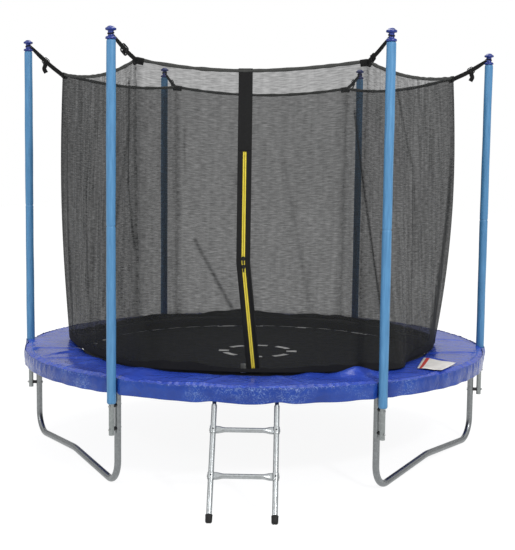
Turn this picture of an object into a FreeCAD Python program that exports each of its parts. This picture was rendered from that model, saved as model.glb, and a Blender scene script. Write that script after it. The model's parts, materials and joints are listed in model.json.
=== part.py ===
import FreeCAD, Part
import Sketcher
import math
import os
import re

# Backyard trampoline with a hexagonal safety net on six padded poles and a two-rung ladder.
# Millimetres, +Z up. The origin is the centre of the frame ring on the ground, and the door
# and the ladder face -Y.

doc = FreeCAD.newDocument("Trampoline")

DRIVING_DIMENSIONS = {
    # frame ring and legs
    "frame_radius": 1201,
    "ring_height": 485,
    "rail_diameter": 38,
    "rail_wall": 1.5,
    "spigot_diameter": 28,
    "spigot_bottom": 380,
    "leg_diameter": 32,
    "leg_wall": 1.5,
    "leg_top": 464,
    "leg_bend_radius": 110,
    "leg_rise_angle": 3.7,
    "leg_middle_radius": 400,
    # enclosure poles
    "pole_radius": 1247,
    "pole_diameter": 25,
    "pole_wall": 1.5,
    "pole_bottom": 255,
    "pole_joint": 1220,
    "pole_top": 2055,
    "joint_overlap": 110,
    "left_pole_rise": 50,
    "sleeve_diameter": 44,
    "sleeve_bore": 25.8,
    "sleeve_bottom": 404,
    "side_sleeve_bottom": 470,
    "cap_top": 2115,
    # bolts between legs and poles
    "bolt_height_low": 282,
    "bolt_height_high": 392,
    "bolt_diameter": 6,
    "hole_diameter": 6.8,
    "spacer_diameter": 18,
    "screw_height": 430,
    # mat, springs and pad
    "mat_radius": 940,
    "mat_height": 475.5,
    "mat_thickness": 5,
    "spring_count": 48,
    "pad_outer_radius": 1245,
    "pad_inner_radius": 955,
    "pad_bottom": 512,
    "pad_top": 531,
    "skirt_bottom": 450,
    "skirt_thickness": 2,
    "notch_diameter": 48,
    # net
    "net_apothem": 930,
    "net_thickness": 2,
    "net_bottom": 538,
    "net_top": 1950,
    "net_corner_gap": 4,
    "hem_diameter": 14,
    "bottom_hem_radius": 947,
    "bottom_hem_bottom": 494,
    # door strip and zip
    "strip_width": 62,
    "tape_width": 7,
    "zip_slit": 3.4,
    "zip_bottom_x": 24,
    "zip_bottom_height": 547,
    "zip_middle_x": -29,
    "zip_middle_height": 1050,
    "zip_top_x": -27,
    "zip_top_height": 1563,
    "slider_offset": 19.5,
    "slider_length": 20,
    "slider_width": 11,
    # ladder
    "ladder_half_width": 139.5,
    "ladder_foot_distance": 1547,
    "ladder_diameter": 25,
    "ladder_wall": 1.5,
    "rung_diameter": 22,
    "rung_low": 211,
    "rung_high": 424.5,
    "foot_diameter": 31,
    "foot_length": 40,
    "hook_bore": 42,
    "hook_thickness": 4,
    "hook_width": 18,
}

sheet = doc.addObject("Spreadsheet::Sheet", "Dimensions")
for row, (alias, value) in enumerate(DRIVING_DIMENSIONS.items(), start=1):
    sheet.set(f"A{row}", alias)
    sheet.set(f"B{row}", str(value))
    sheet.setAlias(f"B{row}", alias)
doc.recompute()

POLE_ANGLES = {number: -180 + 60 * number for number in range(1, 7)}
SIDE_POLES = (3, 6)
LEFT_POLE = 6
Z_AXIS = FreeCAD.Vector(0, 0, 1)
nodes = []


def size(alias):
    """The value of one cell of the sheet."""
    return float(getattr(sheet, alias))


def cell(text):
    """An expression written with aliases turned into one that reads the sheet."""
    def full_name(word):
        return f"Dimensions.{word[0]}" if word[0] in DRIVING_DIMENSIONS else word[0]
    return re.sub(r"[a-z_]+", full_name, text)


def solid(kind, name, at=("0", "0", "0"), turn=None, **sizes):
    """A plain solid whose sizes and place follow the driving dimensions."""
    shape = doc.addObject(f"Part::{kind}", name)
    if turn is not None:
        shape.Placement.Rotation = turn
    for quantity, text in sizes.items():
        shape.setExpression(quantity, cell(text))
    for axis, text in zip("xyz", at):
        if text != "0":
            shape.setExpression(f"Placement.Base.{axis}", cell(text))
    return shape


def fuse(name, shapes):
    """One shape joined from several."""
    joined = doc.addObject("Part::MultiFuse", name)
    joined.Shapes = shapes
    return joined


def cut(name, base, tool):
    """The base with the tool taken away."""
    left = doc.addObject("Part::Cut", name)
    left.Base = base
    left.Tool = tool
    return left


def group(name, shapes):
    """Several equal loose pieces kept as one sub-part."""
    pieces = doc.addObject("Part::Compound", name)
    pieces.Links = shapes
    return pieces


def node(shape, label):
    """Marks a finished sub-part; its Label names its file."""
    shape.Label = label
    nodes.append(shape)
    return shape


def turned(angle):
    """A placement turned about the trampoline's upright axis."""
    return FreeCAD.Placement(FreeCAD.Vector(0, 0, 0), FreeCAD.Rotation(Z_AXIS, angle))


def at_pole(shape, number):
    """The shape, made on the +X side, carried round to one of the poles."""
    carried = group(shape.Name + "_carried", [shape])
    carried.Placement = turned(POLE_ANGLES[number])
    return carried


def radial_rod(name, diameter, start, end, height):
    """A rod that points outward along +X from radius start to radius end."""
    outward = FreeCAD.Rotation(FreeCAD.Vector(0, 1, 0), 90)
    return solid("Cylinder", name, (start, "0", height), outward,
                 Radius=f"({diameter}) / 2", Height=f"({end}) - ({start})")


def new_body(name):
    """An empty body that may hold several loose solids."""
    body = doc.addObject("PartDesign::Body", name)
    body.AllowCompound = True
    return body


def origin_item(body, role):
    """One plane or axis of a body's own origin."""
    return next(item for item in body.Origin.OriginFeatures if item.Role == role)


def sketch_on(body, role, name):
    """A sketch on one of the body's own origin planes."""
    sketch = body.newObject("Sketcher::SketchObject", name)
    sketch.AttachmentSupport = [(origin_item(body, role), "")]
    sketch.MapMode = "FlatFace"
    return sketch


layout = doc.addObject("Spreadsheet::Sheet", "Layout")


def value_of(text):
    """The number that an expression gives now, for a sketch's first layout."""
    layout.set("A1", "=" + cell(text))
    layout.recompute()
    return float(layout.get("A1"))


def outline(sketch, corners):
    """A closed outline of straight edges; each corner is a pair of driving dimensions."""
    points = [FreeCAD.Vector(value_of(x), value_of(y), 0) for x, y in corners]
    first = sketch.GeometryCount
    count = len(points)
    for place in range(count):
        sketch.addGeometry(Part.LineSegment(points[place], points[(place + 1) % count]), False)
    for place in range(count):
        following = first + (place + 1) % count
        sketch.addConstraint(Sketcher.Constraint("Coincident", first + place, 2, following, 1))
    for place, corner in enumerate(corners):
        for kind, text, now in zip(("DistanceX", "DistanceY"), corner, points[place]):
            number = sketch.addConstraint(
                Sketcher.Constraint(kind, -1, 1, first + place, 1, now))
            sketch.setExpression(f"Constraints[{number}]", cell(text))


def ring_pattern(body, feature, count):
    """Equal copies of a feature all round the upright axis."""
    pattern = body.newObject("PartDesign::PolarPattern", body.Name + "_ring")
    pattern.Originals = [feature]
    pattern.Axis = (origin_item(body, "Z_Axis"), [""])
    pattern.Angle = 360
    pattern.setExpression("Occurrences", cell(count))
    body.Tip = pattern
    return pattern


def front_plate(label, corners):
    """A flat piece of the net's front side: its outline seen from the front, padded both ways."""
    body = new_body(label + "_body")
    sketch = sketch_on(body, "XZ_Plane", label + "_outline")
    outline(sketch, corners)
    pad = body.newObject("PartDesign::Pad", label + "_plate")
    pad.Profile = sketch
    pad.Midplane = True
    pad.setExpression("Length", cell("net_thickness"))
    body.setExpression("Placement.Base.y", cell("-net_apothem"))
    return node(body, label)


# --- frame ring: six curved rails, each with a spigot that its leg slides over ---------------

def frame_rail(number):
    name = f"frame_rail_{number}"
    across = ("frame_radius * cos(30)", "frame_radius * sin(30)")
    drop = "ring_height - spigot_bottom"
    outer = solid("Torus", name + "_outer", ("0", "0", "ring_height"),
                  Radius1="frame_radius", Radius2="rail_diameter / 2", Angle3="60")
    spigot = solid("Cylinder", name + "_spigot", (*across, "spigot_bottom"),
                   Radius="spigot_diameter / 2", Height=drop)
    bore = solid("Torus", name + "_bore", ("0", "0", "ring_height"),
                 Radius1="frame_radius", Radius2="rail_diameter / 2 - rail_wall", Angle3="60")
    spigot_bore = solid("Cylinder", name + "_spigot_bore", (*across, "spigot_bottom"),
                        Radius="spigot_diameter / 2 - rail_wall", Height=drop)
    walls = cut(name + "_walls", fuse(name + "_metal", [outer, spigot]),
                fuse(name + "_hollow", [bore, spigot_bore]))
    holes = radial_rod(name + "_screw_hole", "hole_diameter", "frame_radius - leg_diameter",
                       "frame_radius", "screw_height")
    bolts = radial_rod(name + "_bolt_hole", "hole_diameter + 1", "frame_radius - leg_diameter",
                       "frame_radius + leg_diameter", "bolt_height_high")
    drilling = fuse(name + "_drilling", [holes, bolts])
    drilling.Placement = turned(30)
    rail = cut(name, walls, drilling)
    rail.Placement = turned(POLE_ANGLES[number] - 30)
    return node(rail, name)


# --- legs: three one-piece W tubes, each standing under two neighbouring poles ----------------

def leg(label, first_pole):
    """Two uprights a sixth of the ring apart, tight lower bends and a middle raised a little."""
    chord = size("frame_radius")
    bend = size("leg_bend_radius")
    tilt = math.radians(size("leg_rise_angle"))
    low = size("leg_diameter") / 2 + bend
    middle = size("leg_middle_radius")
    half = chord / 2
    start = FreeCAD.Vector(-half, 0, size("leg_top"))
    bend_top = FreeCAD.Vector(-half, 0, low)
    bend_mid = FreeCAD.Vector(-half + bend * (1 - math.cos(math.pi / 4)), 0,
                              low - bend * math.sin(math.pi / 4))
    bend_end = FreeCAD.Vector(-half + bend * (1 + math.sin(tilt)), 0, low - bend * math.cos(tilt))
    reach = -middle * math.sin(tilt)
    rise = bend_end.z + (reach - bend_end.x) * math.tan(tilt)
    crest_start = FreeCAD.Vector(reach, 0, rise)
    crest = FreeCAD.Vector(0, 0, rise + middle * (1 - math.cos(tilt)))

    def mirrored(point):
        return FreeCAD.Vector(-point.x, 0, point.z)

    route = Part.Wire([
        Part.LineSegment(start, bend_top).toShape(),
        Part.Arc(bend_top, bend_mid, bend_end).toShape(),
        Part.LineSegment(bend_end, crest_start).toShape(),
        Part.Arc(crest_start, crest, mirrored(crest_start)).toShape(),
        Part.LineSegment(mirrored(crest_start), mirrored(bend_end)).toShape(),
        Part.Arc(mirrored(bend_end), mirrored(bend_mid), mirrored(bend_top)).toShape(),
        Part.LineSegment(mirrored(bend_top), mirrored(start)).toShape(),
    ])

    def swept(radius):
        section = Part.Wire(Part.Circle(start, FreeCAD.Vector(0, 0, -1), radius).toShape())
        return route.makePipeShell([section], True, False)

    outer = size("leg_diameter") / 2
    tube = doc.addObject("Part::Feature", label + "_tube")
    tube.Shape = swept(outer).cut(swept(outer - size("leg_wall")))
    bearing = POLE_ANGLES[first_pole] + 30
    apothem = chord * math.cos(math.pi / 6)
    tube.Placement = FreeCAD.Placement(
        FreeCAD.Vector(apothem * math.cos(math.radians(bearing)),
                       apothem * math.sin(math.radians(bearing)), 0),
        FreeCAD.Rotation(Z_AXIS, bearing + 90))
    drilling = []
    for side, pole in enumerate((first_pole, first_pole % 6 + 1)):
        holes = [radial_rod(f"{label}_hole_{side}_{height}", "hole_diameter",
                            "frame_radius - leg_diameter", end, height)
                 for height, end in (("bolt_height_low", "frame_radius + leg_diameter"),
                                     ("bolt_height_high", "frame_radius + leg_diameter"),
                                     ("screw_height", "frame_radius"))]
        upright = fuse(f"{label}_holes_{side}", holes)
        upright.Placement = turned(POLE_ANGLES[pole])
        drilling.append(upright)
    return node(cut(label, tube, fuse(label + "_drilling", drilling)), label)


# --- enclosure poles: a lower tube, an upper tube on its reduced end, and foam sleeves ---------

def pole_holes(name):
    rods = [radial_rod(f"{name}_hole_{place}", "hole_diameter", "pole_radius - pole_diameter",
                       "pole_radius + pole_diameter", height)
            for place, height in enumerate(("bolt_height_low", "bolt_height_high"))]
    return fuse(name + "_holes", rods)


def pole_rise(number):
    """How much higher the upper tube stands: the left one isn't pushed fully home."""
    return "left_pole_rise" if number == LEFT_POLE else "0"


def pole_lower(number):
    name = f"pole_lower_{number}"
    outer = solid("Cylinder", name + "_outer", ("pole_radius", "0", "pole_bottom"),
                  Radius="pole_diameter / 2", Height="pole_joint - pole_bottom")
    neck = solid("Cylinder", name + "_neck", ("pole_radius", "0", "pole_bottom"),
                 Radius="pole_diameter / 2 - pole_wall - 0.3",
                 Height="pole_joint - pole_bottom + joint_overlap")
    bore = solid("Cylinder", name + "_bore", ("pole_radius", "0", "pole_bottom"),
                 Radius="pole_diameter / 2 - 2 * pole_wall - 0.3",
                 Height="pole_joint - pole_bottom + joint_overlap")
    tube = cut(name + "_tube", fuse(name + "_metal", [outer, neck]), bore)
    pole = cut(name, tube, pole_holes(name))
    pole.Placement = turned(POLE_ANGLES[number])
    return node(pole, name)


def pole_upper(number):
    name = f"pole_upper_{number}"
    foot = f"pole_joint + {pole_rise(number)}"
    outer = solid("Cylinder", name + "_outer", ("pole_radius", "0", foot),
                  Radius="pole_diameter / 2", Height="pole_top - pole_joint")
    bore = solid("Cylinder", name + "_bore", ("pole_radius", "0", foot),
                 Radius="pole_diameter / 2 - pole_wall", Height="pole_top - pole_joint")
    pole = cut(name, outer, bore)
    pole.Placement = turned(POLE_ANGLES[number])
    return node(pole, name)


def pole_sleeve(number):
    """Two foam tubes, one over each half of the pole, with a slight gap at the pole's joint.

    The sleeves at the trampoline's left and right sides stop inside the skirt."""
    name = f"pole_sleeve_{number}"
    bottom = "side_sleeve_bottom" if number in SIDE_POLES else "sleeve_bottom"
    rise = pole_rise(number)
    lower = solid("Cylinder", name + "_lower", ("pole_radius", "0", bottom),
                  Radius="sleeve_diameter / 2", Height=f"pole_joint + {rise} - {bottom} - 1")
    upper = solid("Cylinder", name + "_upper", ("pole_radius", "0", f"pole_joint + {rise} + 1"),
                  Radius="sleeve_diameter / 2", Height="pole_top - pole_joint - 2")
    bore = solid("Cylinder", name + "_bore", ("pole_radius", "0", "sleeve_bottom"),
                 Radius="sleeve_bore / 2", Height=f"pole_top + {rise} - sleeve_bottom")
    sleeve = cut(name, fuse(name + "_foam", [lower, upper]), bore)
    sleeve.Placement = turned(POLE_ANGLES[number])
    return node(sleeve, name)


CAP_RADIUS = 25
CAP_COLLAR_RADIUS = 24
CAP_NECK_RADIUS = 13.5
CAP_DOME_RADIUS = 15
CAP_DOME_HEIGHT = 9


def pole_caps():
    """Spool-shaped plugs: a stem in the tube, a collar, a neck for the strap and a domed top."""
    stem = "pole_diameter / 2 - pole_wall - 0.5"
    parts = []
    for number, angle in POLE_ANGLES.items():
        name = f"pole_cap_{number}"
        rise = pole_rise(number)
        levels = (("stem", "pole_top - 25", stem, "25"),
                  ("collar", "pole_top", f"{CAP_COLLAR_RADIUS}", "13"),
                  ("neck", "pole_top + 12", f"{CAP_NECK_RADIUS}", "29"),
                  ("flange", "cap_top - 21", f"{CAP_RADIUS}", "12"))
        discs = [solid("Cylinder", f"{name}_{part}", ("pole_radius", "0", f"{bottom} + {rise}"),
                       Radius=radius, Height=height)
                 for part, bottom, radius, height in levels]
        dome = solid("Cone", name + "_dome",
                     ("pole_radius", "0", f"cap_top - {CAP_DOME_HEIGHT} + {rise}"),
                     Radius1=f"{CAP_RADIUS}", Radius2=f"{CAP_DOME_RADIUS}",
                     Height=f"{CAP_DOME_HEIGHT}")
        cap = fuse(name, discs + [dome])
        cap.Placement = turned(angle)
        parts.append(cap)
    return node(group("pole_caps", parts), "pole_caps")


# --- hardware between legs and poles ---------------------------------------------------------

def hardware(name, label, make_one, heights):
    """One piece of hardware at every pole and at each of the given heights."""
    pieces = []
    for number, angle in POLE_ANGLES.items():
        for place, height in enumerate(heights):
            piece = make_one(f"{name}_{number}{place}", height)
            piece.Placement = turned(angle)
            pieces.append(piece)
    return node(group(label, pieces), label)


def spacer(name, height):
    """A short tube with saddle ends that holds the pole off the leg."""
    body = radial_rod(name + "_body", "spacer_diameter", "frame_radius", "pole_radius", height)
    hole = radial_rod(name + "_hole", "hole_diameter", "frame_radius", "pole_radius", height)
    leg_side = solid("Cylinder", name + "_leg_side", ("frame_radius", "0", f"{height} - 20"),
                     Radius="leg_diameter / 2 + 0.2", Height="40")
    pole_side = solid("Cylinder", name + "_pole_side", ("pole_radius", "0", f"{height} - 20"),
                      Radius="pole_diameter / 2 + 0.2", Height="40")
    return cut(name, body, fuse(name + "_cutters", [hole, leg_side, pole_side]))


def bolt(name, height):
    """A domed bolt from inside the leg, through the spacer and the pole."""
    face = "frame_radius - leg_diameter / 2 - 0.3"
    shank = radial_rod(name + "_shank", "bolt_diameter", face,
                       "pole_radius + pole_diameter / 2 + 8", height)
    head = radial_rod(name + "_head", "13", f"{face} - 3.5", face, height)
    return fuse(name, [head, shank])


def nut(name, height):
    """A six-sided nut on the outer side of the pole."""
    face = "pole_radius + pole_diameter / 2 + 0.3"
    outward = FreeCAD.Rotation(FreeCAD.Vector(0, 1, 0), 90)
    block = solid("Prism", name + "_block", (face, "0", height), outward,
                  Circumradius="bolt_diameter * 0.95", Height="5")
    block.Polygon = 6
    hole = radial_rod(name + "_hole", "bolt_diameter + 0.3", "pole_radius", "pole_radius + 30",
                      height)
    return cut(name, block, hole)


def frame_screw(name, height):
    """A short screw from the inner side through the leg's wall into the spigot."""
    face = "frame_radius - leg_diameter / 2 - 0.3"
    head = radial_rod(name + "_head", "10", f"{face} - 3", face, height)
    shank = radial_rod(name + "_shank", "bolt_diameter", face, f"{face} + 7", height)
    return fuse(name, [head, shank])


# --- mat, its wire rings and the springs -------------------------------------------------------

def jumping_mat():
    body = new_body("mat_body")
    sketch = sketch_on(body, "XY_Plane", "mat_edge")
    middle = FreeCAD.Vector(0, 0, 0)
    sketch.addGeometry(Part.Circle(middle, Z_AXIS, size("mat_radius")), False)
    sketch.addConstraint(Sketcher.Constraint("Coincident", 0, 3, -1, 1))
    radius = sketch.addConstraint(Sketcher.Constraint("Radius", 0, size("mat_radius")))
    sketch.setExpression(f"Constraints[{radius}]", cell("mat_radius"))
    pad = body.newObject("PartDesign::Pad", "mat_cloth")
    pad.Profile = sketch
    pad.setExpression("Length", cell("mat_thickness"))
    body.setExpression("Placement.Base.z", cell("mat_height"))
    return node(body, "jumping_mat")


def mat_rings():
    """Flat triangular wire rings round the mat's edge, their points towards the springs."""
    body = new_body("mat_rings_body")
    sketch = sketch_on(body, "XY_Plane", "mat_ring_outline")
    outline(sketch, (("mat_radius + 1.5", "-19"), ("mat_radius + 27", "-2.5"),
                     ("mat_radius + 27", "2.5"), ("mat_radius + 1.5", "19")))
    outline(sketch, (("mat_radius + 5.5", "-12.5"), ("mat_radius + 22", "-1.6"),
                     ("mat_radius + 22", "1.6"), ("mat_radius + 5.5", "12.5")))
    plate = body.newObject("PartDesign::Pad", "mat_ring_plate")
    plate.Profile = sketch
    plate.Length = 4
    ring_pattern(body, plate, "spring_count")
    body.setExpression("Placement.Base.z", cell("mat_height + 0.5"))
    return node(body, "mat_rings")


HOOK_START = "mat_radius + 28"
COIL_START = "mat_radius + 42"
COIL_END = "mat_radius + 222"
HOOK_END = "frame_radius - rail_diameter / 2 - 1"
HOOK_THICKNESS = "1.6"
COIL_THICKNESS = "10"


def springs():
    """Plain outer shapes of the coil springs, each with a stem for its hook at both ends."""
    body = new_body("springs_body")
    sketch = sketch_on(body, "XZ_Plane", "spring_profile")
    outline(sketch, ((HOOK_START, "0"), (HOOK_START, HOOK_THICKNESS),
                     (COIL_START, HOOK_THICKNESS), (COIL_START, COIL_THICKNESS),
                     (COIL_END, COIL_THICKNESS), (COIL_END, HOOK_THICKNESS),
                     (HOOK_END, HOOK_THICKNESS), (HOOK_END, "0")))
    coil = body.newObject("PartDesign::Revolution", "spring_coil")
    coil.Profile = sketch
    coil.ReferenceAxis = (sketch, ["H_Axis"])
    coil.Angle = 360
    ring_pattern(body, coil, "spring_count")
    body.setExpression("Placement.Base.z", cell("mat_height + 2.5"))
    return node(body, "springs")


# --- safety pad: foam ring over the springs and its hanging skirt, with a notch at each pole ----

def notched_ring(label, outer_radius, inner_radius, bottom, top):
    """A flat or upright ring with a round notch where each pole passes."""
    outer = solid("Cylinder", label + "_outer", ("0", "0", bottom),
                  Radius=outer_radius, Height=f"{top} - {bottom}")
    middle = solid("Cylinder", label + "_middle", ("0", "0", bottom),
                   Radius=inner_radius, Height=f"{top} - {bottom}")
    notches = []
    for number in POLE_ANGLES:
        notch = solid("Cylinder", f"{label}_notch_{number}", ("pole_radius", "0", bottom),
                      Radius="notch_diameter / 2", Height=f"{top} - {bottom}")
        notches.append(at_pole(notch, number))
    return node(cut(label, outer, fuse(label + "_space", [middle] + notches)), label)


# --- net: flat panels between the six corners, hems, straps and buckles -------------------------

def net_panel(number, bearing):
    """One of the five plain sides; the slight corner gaps keep neighbours apart."""
    name = f"net_panel_{number}"
    half = "(net_apothem * tan(30) - net_corner_gap)"
    panel = solid("Box", name, ("0", "0", "0"), Length="net_thickness",
                  Width=f"2 * {half}", Height="net_top - net_bottom")
    angle = math.radians(bearing)
    near = size("net_apothem") - size("net_thickness") / 2
    side = size("net_apothem") * math.tan(math.pi / 6) - size("net_corner_gap")
    panel.Placement = FreeCAD.Placement(
        FreeCAD.Vector(near * math.cos(angle) + side * math.sin(angle),
                       near * math.sin(angle) - side * math.cos(angle), size("net_bottom")),
        FreeCAD.Rotation(Z_AXIS, bearing))
    return node(panel, name)


def zip_line(offset, gap_above):
    """Corners of a line beside the zip, from the bottom of the net to its top."""
    return [(f"zip_bottom_x + {offset}", "net_bottom"),
            (f"zip_bottom_x + {offset}", "zip_bottom_height"),
            (f"zip_middle_x + {offset}", "zip_middle_height"),
            (f"zip_top_x + {offset}", "zip_top_height"),
            (f"zip_top_x + {gap_above}", "zip_top_height + 6"),
            (f"zip_top_x + {gap_above}", "net_top")]


def door_strip(label, sign):
    """Half of the solid black strip round the zip; above the zip the two halves meet."""
    outer_edge = f"{sign} * (strip_width / 2)"
    near = zip_line(f"{sign} * (zip_slit / 2 + tape_width)", f"{sign} * 0")
    far = zip_line(outer_edge, outer_edge)
    return front_plate(label, near + far[::-1])


def zip_tape(label, sign):
    """The toothed tape on one side of the slit."""
    near = zip_line(f"{sign} * (zip_slit / 2)", "0")[1:4]
    far = zip_line(f"{sign} * (zip_slit / 2 + tape_width)", "0")[1:4]
    return front_plate(label, near + far[::-1])


def front_net(label, sign):
    """The net on one side of the door strip."""
    near = zip_line(f"{sign} * (strip_width / 2 + 0.5)", f"{sign} * (strip_width / 2 + 0.5)")
    edge = f"{sign} * (net_apothem * tan(30) - net_corner_gap)"
    return front_plate(label, near + [(edge, "net_top"), (edge, "net_bottom")])


def net_top_hem():
    """A padded cord channel along the top of each side."""
    pieces = []
    for number in range(6):
        along = FreeCAD.Rotation(FreeCAD.Vector(1, 0, 0), -90)
        piece = solid("Cylinder", f"top_hem_{number}", ("0", "0", "0"), along,
                      Radius="hem_diameter / 2",
                      Height="2 * (net_apothem * tan(30) - net_corner_gap)")
        bearing = math.radians(60 * number + 30)
        side = size("net_apothem") * math.tan(math.pi / 6) - size("net_corner_gap")
        piece.Placement = FreeCAD.Placement(
            FreeCAD.Vector(size("net_apothem") * math.cos(bearing) + side * math.sin(bearing),
                           size("net_apothem") * math.sin(bearing) - side * math.cos(bearing),
                           size("net_top") + size("hem_diameter") / 2 + 0.5),
            FreeCAD.Rotation(Z_AXIS, 60 * number + 30).multiply(along))
        pieces.append(piece)
    return node(group("net_top_hem", pieces), "net_top_hem")


def net_bottom_hem():
    """The black band that closes the net down to the edge of the mat."""
    outer = solid("Cylinder", "bottom_hem_outer", ("0", "0", "bottom_hem_bottom"),
                  Radius="bottom_hem_radius", Height="net_bottom - bottom_hem_bottom - 2")
    inner = solid("Cylinder", "bottom_hem_inner", ("0", "0", "bottom_hem_bottom"),
                  Radius="bottom_hem_radius - 2", Height="net_bottom - bottom_hem_bottom - 2")
    return node(cut("net_bottom_hem", outer, inner), "net_bottom_hem")


STRAP_INNER_RADIUS = 1082
STRAP_INNER_HEIGHT = 1968
STRAP_OUTER_RADIUS = 1213
STRAP_OUTER_HEIGHT = 2066
STRAP_WIDTH = 25
STRAP_THICKNESS = 1.6
STRAP_ARM = (1204, 1232)
LOOP_LIFT = 15
LOOP_HEIGHT = 17
LOOP_OUTER = 16.5
LOOP_INNER = 14
BUCKLE_REACH = 0.38
BUCKLE_LENGTH = 26
BUCKLE_THICKNESS = 7
BUCKLE_WIDTH = 34
SLOT_LENGTH = 30
SLOT_THICKNESS = 3
SLOT_WIDTH = 27


def strap_frame(number, share):
    """Where a strap is at a share of its length, with X along it and Z across its width."""
    run = STRAP_OUTER_RADIUS - STRAP_INNER_RADIUS
    rise = STRAP_OUTER_HEIGHT - STRAP_INNER_HEIGHT
    if number == LEFT_POLE:
        rise += size("left_pole_rise")
    slope = math.degrees(math.atan2(rise, run))
    at = FreeCAD.Vector(STRAP_INNER_RADIUS + share * run, 0, STRAP_INNER_HEIGHT + share * rise)
    tilt = FreeCAD.Rotation(FreeCAD.Vector(0, 1, 0), -slope)
    return turned(POLE_ANGLES[number]).multiply(FreeCAD.Placement(at, tilt))


def strap_block(name, place, length, thickness, width, shift=0):
    """A block on a strap's line: length along it, thickness through it, width across it."""
    block = doc.addObject("Part::Box", name)
    block.Length = length
    block.Width = thickness
    block.Height = width
    centred = FreeCAD.Vector(-shift, -thickness / 2, -width / 2)
    block.Placement = place.multiply(FreeCAD.Placement(centred, FreeCAD.Rotation()))
    return block


def net_straps():
    """Webbing on edge, from each corner of the net up to a loop round the cap's neck."""
    pieces = []
    for number in POLE_ANGLES:
        start = strap_frame(number, 0)
        length = start.Base.distanceToPoint(strap_frame(number, 1).Base)
        band = strap_block(f"strap_band_{number}", start, length, STRAP_THICKNESS, STRAP_WIDTH)
        foot = f"pole_top + {LOOP_LIFT} + {pole_rise(number)}"
        level = size("pole_top") + LOOP_LIFT + LOOP_HEIGHT / 2
        if number == LEFT_POLE:
            level += size("left_pole_rise")
        arm_start = turned(POLE_ANGLES[number]).multiply(
            FreeCAD.Placement(FreeCAD.Vector(STRAP_ARM[0], 0, level), FreeCAD.Rotation()))
        arm = strap_block(f"strap_arm_{number}", arm_start, STRAP_ARM[1] - STRAP_ARM[0],
                          STRAP_THICKNESS, LOOP_HEIGHT)
        loop = solid("Cylinder", f"strap_loop_{number}", ("pole_radius", "0", foot),
                     Radius=f"{LOOP_OUTER}", Height=f"{LOOP_HEIGHT}")
        loop_bore = solid("Cylinder", f"strap_loop_bore_{number}", ("pole_radius", "0", foot),
                          Radius=f"{LOOP_INNER}", Height=f"{LOOP_HEIGHT}")
        ring = at_pole(cut(f"strap_ring_{number}", loop, loop_bore), number)
        pieces.append(fuse(f"strap_{number}", [band, arm, ring]))
    return node(group("net_straps", pieces), "net_straps")


def strap_buckles():
    """Flat plastic buckles threaded on the straps."""
    pieces = []
    for number in POLE_ANGLES:
        block = strap_block(f"buckle_block_{number}", strap_frame(number, BUCKLE_REACH),
                            BUCKLE_LENGTH, BUCKLE_THICKNESS, BUCKLE_WIDTH, BUCKLE_LENGTH / 2)
        slot = strap_block(f"buckle_slot_{number}", strap_frame(number, BUCKLE_REACH),
                           SLOT_LENGTH, SLOT_THICKNESS, SLOT_WIDTH, SLOT_LENGTH / 2)
        pieces.append(cut(f"buckle_{number}", block, slot))
    return node(group("strap_buckles", pieces), "strap_buckles")


SLIDER_REACH = 4
SLIDER_PLATE = 2.2
SLIDER_POST = 2


def zip_slider(label, end_x, end_height):
    """A slider that grips both tapes: a front plate, a back plate and a post in the slit."""
    away_x = size(end_x) - size("zip_middle_x")
    away_z = size(end_height) - size("zip_middle_height")
    reach = math.hypot(away_x, away_z)
    share = size("slider_offset") / reach
    place = FreeCAD.Placement(
        FreeCAD.Vector(size("zip_middle_x") + share * away_x, -size("net_apothem"),
                       size("zip_middle_height") + share * away_z),
        FreeCAD.Rotation(FreeCAD.Vector(0, 1, 0), math.degrees(math.atan2(away_x, away_z))))
    half = size("slider_width") / 2
    height = size("slider_length")
    plates = []
    slider_parts = (("front", -SLIDER_REACH, half, SLIDER_PLATE),
                    ("back", SLIDER_REACH - SLIDER_PLATE, half, SLIDER_PLATE),
                    ("post", -SLIDER_REACH / 2, SLIDER_POST / 2, SLIDER_REACH))
    for part, near, width, depth in slider_parts:
        plate = doc.addObject("Part::Box", f"{label}_{part}")
        plate.Length = 2 * width
        plate.Width = depth
        plate.Height = height
        corner = FreeCAD.Vector(-width, near, -height / 2)
        plate.Placement = place.multiply(FreeCAD.Placement(corner, FreeCAD.Rotation()))
        plates.append(plate)
    return node(fuse(label, plates), label)


# --- ladder: two leaning rails hooked over the ring, two rungs, rubber feet -----------------------

HALF_WIDTH = size("ladder_half_width")
HINGE_Y = -math.sqrt(size("frame_radius") ** 2 - HALF_WIDTH ** 2)
HINGE_Z = size("ring_height")
LADDER_RUN = HINGE_Y + size("ladder_foot_distance")
LADDER_LEAN = math.degrees(math.atan2(LADDER_RUN, HINGE_Z))
LADDER_LENGTH = math.hypot(LADDER_RUN, HINGE_Z)
TUBE_END_GAP = 58
LADDER_TUBE_START = 12


def ladder_place(side, along):
    """A place on a rail's axis, measured from its foot, with Z along the rail."""
    share = along / LADDER_LENGTH
    at = FreeCAD.Vector(side * HALF_WIDTH, -size("ladder_foot_distance") + share * LADDER_RUN,
                        share * HINGE_Z)
    return FreeCAD.Placement(at, FreeCAD.Rotation(FreeCAD.Vector(1, 0, 0), -LADDER_LEAN))


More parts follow.
